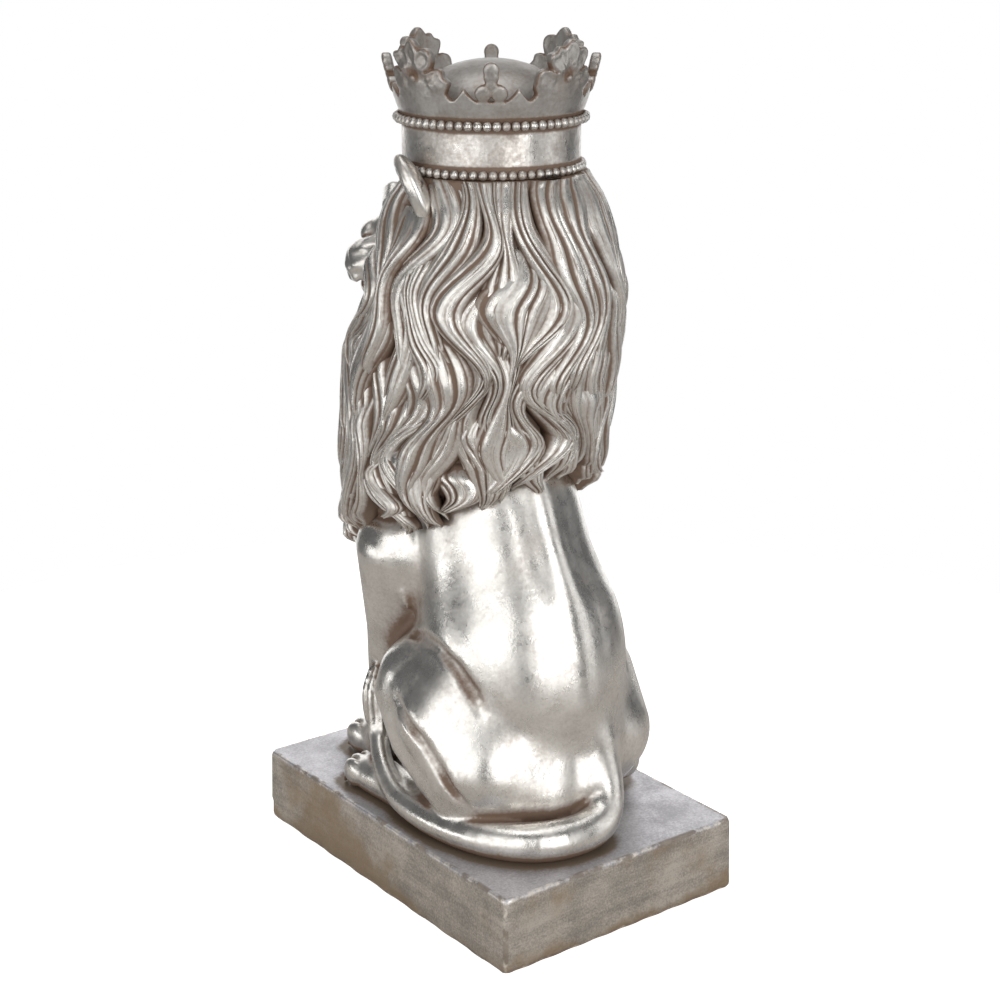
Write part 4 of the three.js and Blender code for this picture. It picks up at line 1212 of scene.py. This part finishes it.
class LION_OT_body(bpy.types.Operator):
    """Make the lion's body, legs and tail"""

    bl_idname = "lion.body"
    bl_label = "Body"

    def execute(self, context):
        sizes = context.scene.lion_body
        turn = sizes.head_turn

        def cut(p):
            top = p[2] - (NOMINAL - 0.3)
            return np.maximum(np.maximum(whole_form(p, turn), -p[2] - 0.3), top)

        def surroundings(p):
            return np.minimum(np.minimum(whole_form(p, turn), head_form(p, turn)), p[2])

        points, quads = skinned(cut, *BODY_BOX, sizes.body_step / MM)
        # Painted shade: the hollow attribute darkens the body where the head, the mane and the
        # plinth's top shut it in, as well as laying wax.
        hollow = hollowness(surroundings, points) ** 1.4
        # Painted shadow: the mass behind the locks is darkened where it shows between them.
        shade_behind_locks = 1 - ramp(0.3, 2.5, mane_core(tuple(points.T), turn))
        hollow = np.maximum(hollow, 0.8 * shade_behind_locks)
        piece = mesh_object("lion_body", to_row(points), quads, leaf_of(context, "lion"),
                            {"hollow": hollow})
        finish_piece(piece, "lion")
        return {"FINISHED"}


class LION_OT_head(bpy.types.Operator):
    """Make the lion's head and ears"""

    bl_idname = "lion.head"
    bl_label = "Head"

    def execute(self, context):
        sizes = context.scene.lion_body
        turn = sizes.head_turn
        crown = context.scene.lion_crown
        clear = (crown.band + crown.bead) / MM - 0.8

        def cut(p):
            under_crown = np.minimum(p[2] - NOMINAL + 1.0, clear - np.hypot(p[0], p[1]))
            return np.maximum(head_form(p, turn), under_crown)

        def surroundings(p):
            return np.minimum(whole_form(p, turn), head_form(p, turn))

        points, quads = skinned(cut, *HEAD_BOX, sizes.head_step / MM)
        # Painted shade: the hollow attribute darkens the head where the mane and the body shut it in,
        # as well as laying wax.
        hollow = hollowness(surroundings, points, 1.8) ** 1.2
        piece = mesh_object("lion_head", to_row(points), quads, leaf_of(context, "lion"),
                            {"hollow": hollow})
        finish_piece(piece)
        return {"FINISHED"}


class LION_OT_mane(bpy.types.Operator):
    """Make the locks of the mane, row by row"""

    bl_idname = "lion.mane"
    bl_label = "Mane"

    def execute(self, context):
        given = context.scene.lion_mane
        sizes = {label: getattr(given, label) / MM
                 for label in ("step", "length", "width", "relief", "strand")}
        for label in ("columns", "rows", "seed"):
            sizes[label] = getattr(given, label)
        rows = mane_locks(sizes, context.scene.lion_body.head_turn)
        thirds = [round(given.rows * share / 3) for share in range(4)]
        names = ("mane_upper", "mane_middle", "mane_lower")
        for name, first, last in zip(names, thirds, thirds[1:]):
            made = joined([one for row in rows[first:last] for one in row])
            piece = mesh_object(name, to_row(made[0]), made[1], leaf_of(context, "lion"),
                                {"hollow": made[2], "comb": made[3]})
            finish_piece(piece)
        return {"FINISHED"}


class LION_OT_crown(bpy.types.Operator):
    """Make the crown with its leaves, cap and beads"""

    bl_idname = "lion.crown"
    bl_label = "Crown"

    def execute(self, context):
        sizes = context.scene.lion_crown
        turn = context.scene.lion_body.head_turn
        lift = CROWN_FOOT + sizes.bead / 2 + sizes.band_height
        material = leaf_of(context, "crown")
        inner = {label: getattr(sizes, label) / MM for label in (
            "band", "band_height", "bead", "rim_height", "rim_flare", "wall", "leaf_height",
            "cap", "cap_rise")}
        inner["leaves"] = sizes.leaves

        def field(p):
            return crown_field(p, inner)

        reach = inner["band"] + inner["rim_flare"] + 4
        low = -inner["band_height"] - inner["bead"] / 2 - 3
        points, quads = skinned(field, (-reach, -reach, low),
                                (reach, reach, inner["leaf_height"] + 4), sizes.step / MM)
        values = {"hollow": crown_hollow(points, field, inner), "dull": crown_dull(points, inner)}
        piece = mesh_object("crown_band", turned_up(points * MM, turn, lift), quads, material,
                            values)
        finish_piece(piece, "crown")
        tree = bead_tree(material)
        for name, count, out, height, seed in (
                ("crown_upper_beads", sizes.upper_beads, UPPER_OUT, lift, 3),
                ("crown_lower_beads", sizes.lower_beads, LOWER_OUT, lift - sizes.band_height, 5)):
            row = bead_row(name, tree, {
                "Count": count, "Ring radius": sizes.band + out, "Bead radius": sizes.bead / 2,
                "Height": height, "Seed": seed}, material)
            finish_piece(row)
        return {"FINISHED"}


class LION_OT_plinth(bpy.types.Operator):
    """Make the plinth"""

    bl_idname = "lion.plinth"
    bl_label = "Plinth"

    def execute(self, context):
        sizes = context.scene.lion_plinth
        turn = context.scene.lion_body.head_turn
        points, quads, edge = plinth_grid(sizes, PLINTH_TOP)
        local = (points - np.array([0, 0, PLINTH_TOP])) / MM
        local[:, 2] = np.maximum(local[:, 2], 0.0) + 1.0
        # Patina and painted contact shade: the top darkens towards the figure's foot, fading out over
        # 9 mm.
        near = whole_form(tuple(local.T), turn)
        top = points[:, 2] > PLINTH_TOP - 0.002
        hollow = np.where(top, 0.85 * (1 - ramp(0.5, 9.0, near)), 0.0)
        upper = ramp(PLINTH_TOP - 0.003, PLINTH_TOP - 0.0004, points[:, 2])
        material = plinth_material(sizes)
        piece = mesh_object("plinth_block", points, quads, material,
                            {"hollow": hollow, "edge": edge, "upper": upper})
        finish_piece(piece, "plinth")
        return {"FINISHED"}


def leaf_of(context, part):
    """The leafed material of the lion or the crown."""
    body = context.scene.lion_body
    if part == "lion":
        return leafed_material("Bright silver leaf", tuple(body.leaf), tuple(body.wax_and_shade),
                               0.55, (0.2, 0.36), 0.3, 0.4)
    return leafed_material("Crown leaf", tuple(context.scene.lion_crown.leaf), tuple(body.wax_and_shade),
                           0.66, (0.17, 0.36), 0.5, 0.2)


# Soft panels: name, degrees round from the camera, distance, height, width, tallness, power
PANELS = (
    ("Left panel", -30, 1.7, 0.72, 1.7, 1.8, 14.8),
    ("Right panel", 31, 1.7, 0.72, 0.9, 1.8, 13.5),
    ("Low left fill", -72, 1.3, 0.05, 0.9, 0.25, 1.7),
    ("Right fill", 84, 1.7, 0.45, 1.0, 2.0, 6),
    ("Back panel", 180, 1.7, 0.5, 2.6, 2.0, 20),
    ("Top panel", 180, 0.05, 2.0, 1.6, 1.6, 13),
)
AIM_HEIGHT = 0.24
AIM_SHARE = 0.35  # how much of the slope down to the figure a panel follows
FLOOR_SIDES = 96


def panel_light(name, degrees, distance, height, width, tall, power):
    """A soft panel that faces the figure, at an angle round from the camera."""
    stage = bpy.context.scene.lion_stage
    toward = math.atan2(stage.camera[0], stage.camera[1]) - math.radians(degrees)
    data = bpy.data.lights.new(name, "AREA")
    data.shape = "RECTANGLE"
    data.size = width
    data.size_y = tall
    data.energy = power
    light = bpy.data.objects.new(name, data)
    place = Vector((math.sin(toward) * distance, math.cos(toward) * distance, height))
    light.location = place
    aim = Vector((0, 0, AIM_HEIGHT)) - place
    aim.z *= AIM_SHARE
    light.rotation_mode = "QUATERNION"
    light.rotation_quaternion = aim.to_track_quat("-Z", "Y")
    light.visible_camera = False
    bpy.context.collection.objects.link(light)


def floor_material():
    """Pale and matt, and plain white where the camera sees it."""
    pale, tree, shader, _ = blank_material("Pale floor")
    shader.inputs["Base Color"].default_value = (0.6, 0.565, 0.53, 1.0)
    shader.inputs["Roughness"].default_value = 0.9
    shader.inputs["Emission Color"].default_value = (1.0, 1.0, 1.0, 1.0)
    seen = tree.nodes.new("ShaderNodeLightPath").outputs["Is Camera Ray"]
    tree.links.new(seen, shader.inputs["Emission Strength"])
    return pale


def studio_world():
    """White where the camera sees it, and a faint even light elsewhere."""
    world = bpy.data.worlds.new("Pale studio")
    world.use_nodes = True
    tree = world.node_tree
    tree.nodes.clear()
    seen = put(tree, "ShaderNodeBackground", Color=(1.0, 1.0, 1.0, 1.0), Strength=1.0)
    lit = put(tree, "ShaderNodeBackground", Color=(0.97, 0.98, 1.0, 1.0), Strength=0.14)
    path = tree.nodes.new("ShaderNodeLightPath")
    choice = put(tree, "ShaderNodeMixShader", i0=path.outputs["Is Camera Ray"],
                 i1=lit.outputs[0], i2=seen.outputs[0])
    end = tree.nodes.new("ShaderNodeOutputWorld")
    tree.links.new(choice.outputs[0], end.inputs["Surface"])
    return world


def photo_camera(sizes):
    """A camera where the photo was taken from, as fitted to the plinth and the beads."""
    data = bpy.data.cameras.new("Camera")
    data.lens = sizes.lens
    data.sensor_width = 36.0
    data.clip_start = 0.05
    camera = bpy.data.objects.new("Camera", data)
    camera.location = sizes.camera
    forward = Vector((math.cos(sizes.dip) * math.sin(sizes.heading),
                      math.cos(sizes.dip) * math.cos(sizes.heading), -math.sin(sizes.dip)))
    camera.rotation_mode = "QUATERNION"
    camera.rotation_quaternion = forward.to_track_quat("-Z", "Y")
    bpy.context.collection.objects.link(camera)
    return camera


class LION_OT_stage(bpy.types.Operator):
    """Make the floor, the lights and the camera"""

    bl_idname = "lion.stage"
    bl_label = "Stage"

    def execute(self, context):
        sizes = context.scene.lion_stage
        turns = np.arange(FLOOR_SIDES) / FLOOR_SIDES * 2 * math.pi
        ring = np.stack([sizes.floor * np.cos(turns), sizes.floor * np.sin(turns), 0 * turns], 1)
        floor = mesh_object("floor", ring, [list(range(FLOOR_SIDES))], floor_material())
        context.scene.world = studio_world()
        for panel in PANELS:
            panel_light(*panel)
        context.scene.camera = photo_camera(sizes)
        context.scene.view_settings.view_transform = "Standard"
        return {"FINISHED"}


class LION_PT_sidebar(bpy.types.Panel):
    """Lists the figure's pieces and their sizes"""

    bl_idname = "LION_PT_sidebar"
    bl_label = "Crowned lion"
    bl_space_type = "VIEW_3D"
    bl_region_type = "UI"
    bl_category = "Lion"

    def draw(self, context):
        for group, operators in PANEL_ROWS:
            box = self.layout.box()
            values = getattr(context.scene, group)
            for label in values.bl_rna.properties.keys():
                if label not in ("rna_type", "name"):
                    box.prop(values, label)
            for operator in operators:
                box.operator(operator)


PANEL_ROWS = (
    ("lion_plinth", ("lion.plinth",)),
    ("lion_body", ("lion.body", "lion.head")),
    ("lion_mane", ("lion.mane",)),
    ("lion_crown", ("lion.crown",)),
    ("lion_stage", ("lion.stage",)),
)

OPERATORS = (LION_OT_plinth, LION_OT_body, LION_OT_head, LION_OT_mane, LION_OT_crown,
             LION_OT_stage)


def register():
    for kind in (*GROUPS.values(), *OPERATORS, LION_PT_sidebar):
        bpy.utils.register_class(kind)
    for name, kind in GROUPS.items():
        setattr(bpy.types.Scene, name, bpy.props.PointerProperty(type=kind))


def unregister():
    for name in GROUPS:
        delattr(bpy.types.Scene, name)
    for kind in (LION_PT_sidebar, *reversed(OPERATORS), *reversed(list(GROUPS.values()))):
        bpy.utils.unregister_class(kind)


def main():
    register()
    bpy.ops.lion.plinth()
    bpy.ops.lion.body()
    bpy.ops.lion.head()
    bpy.ops.lion.mane()
    bpy.ops.lion.crown()
    bpy.ops.lion.stage()


if __name__ == "__main__":
    main()
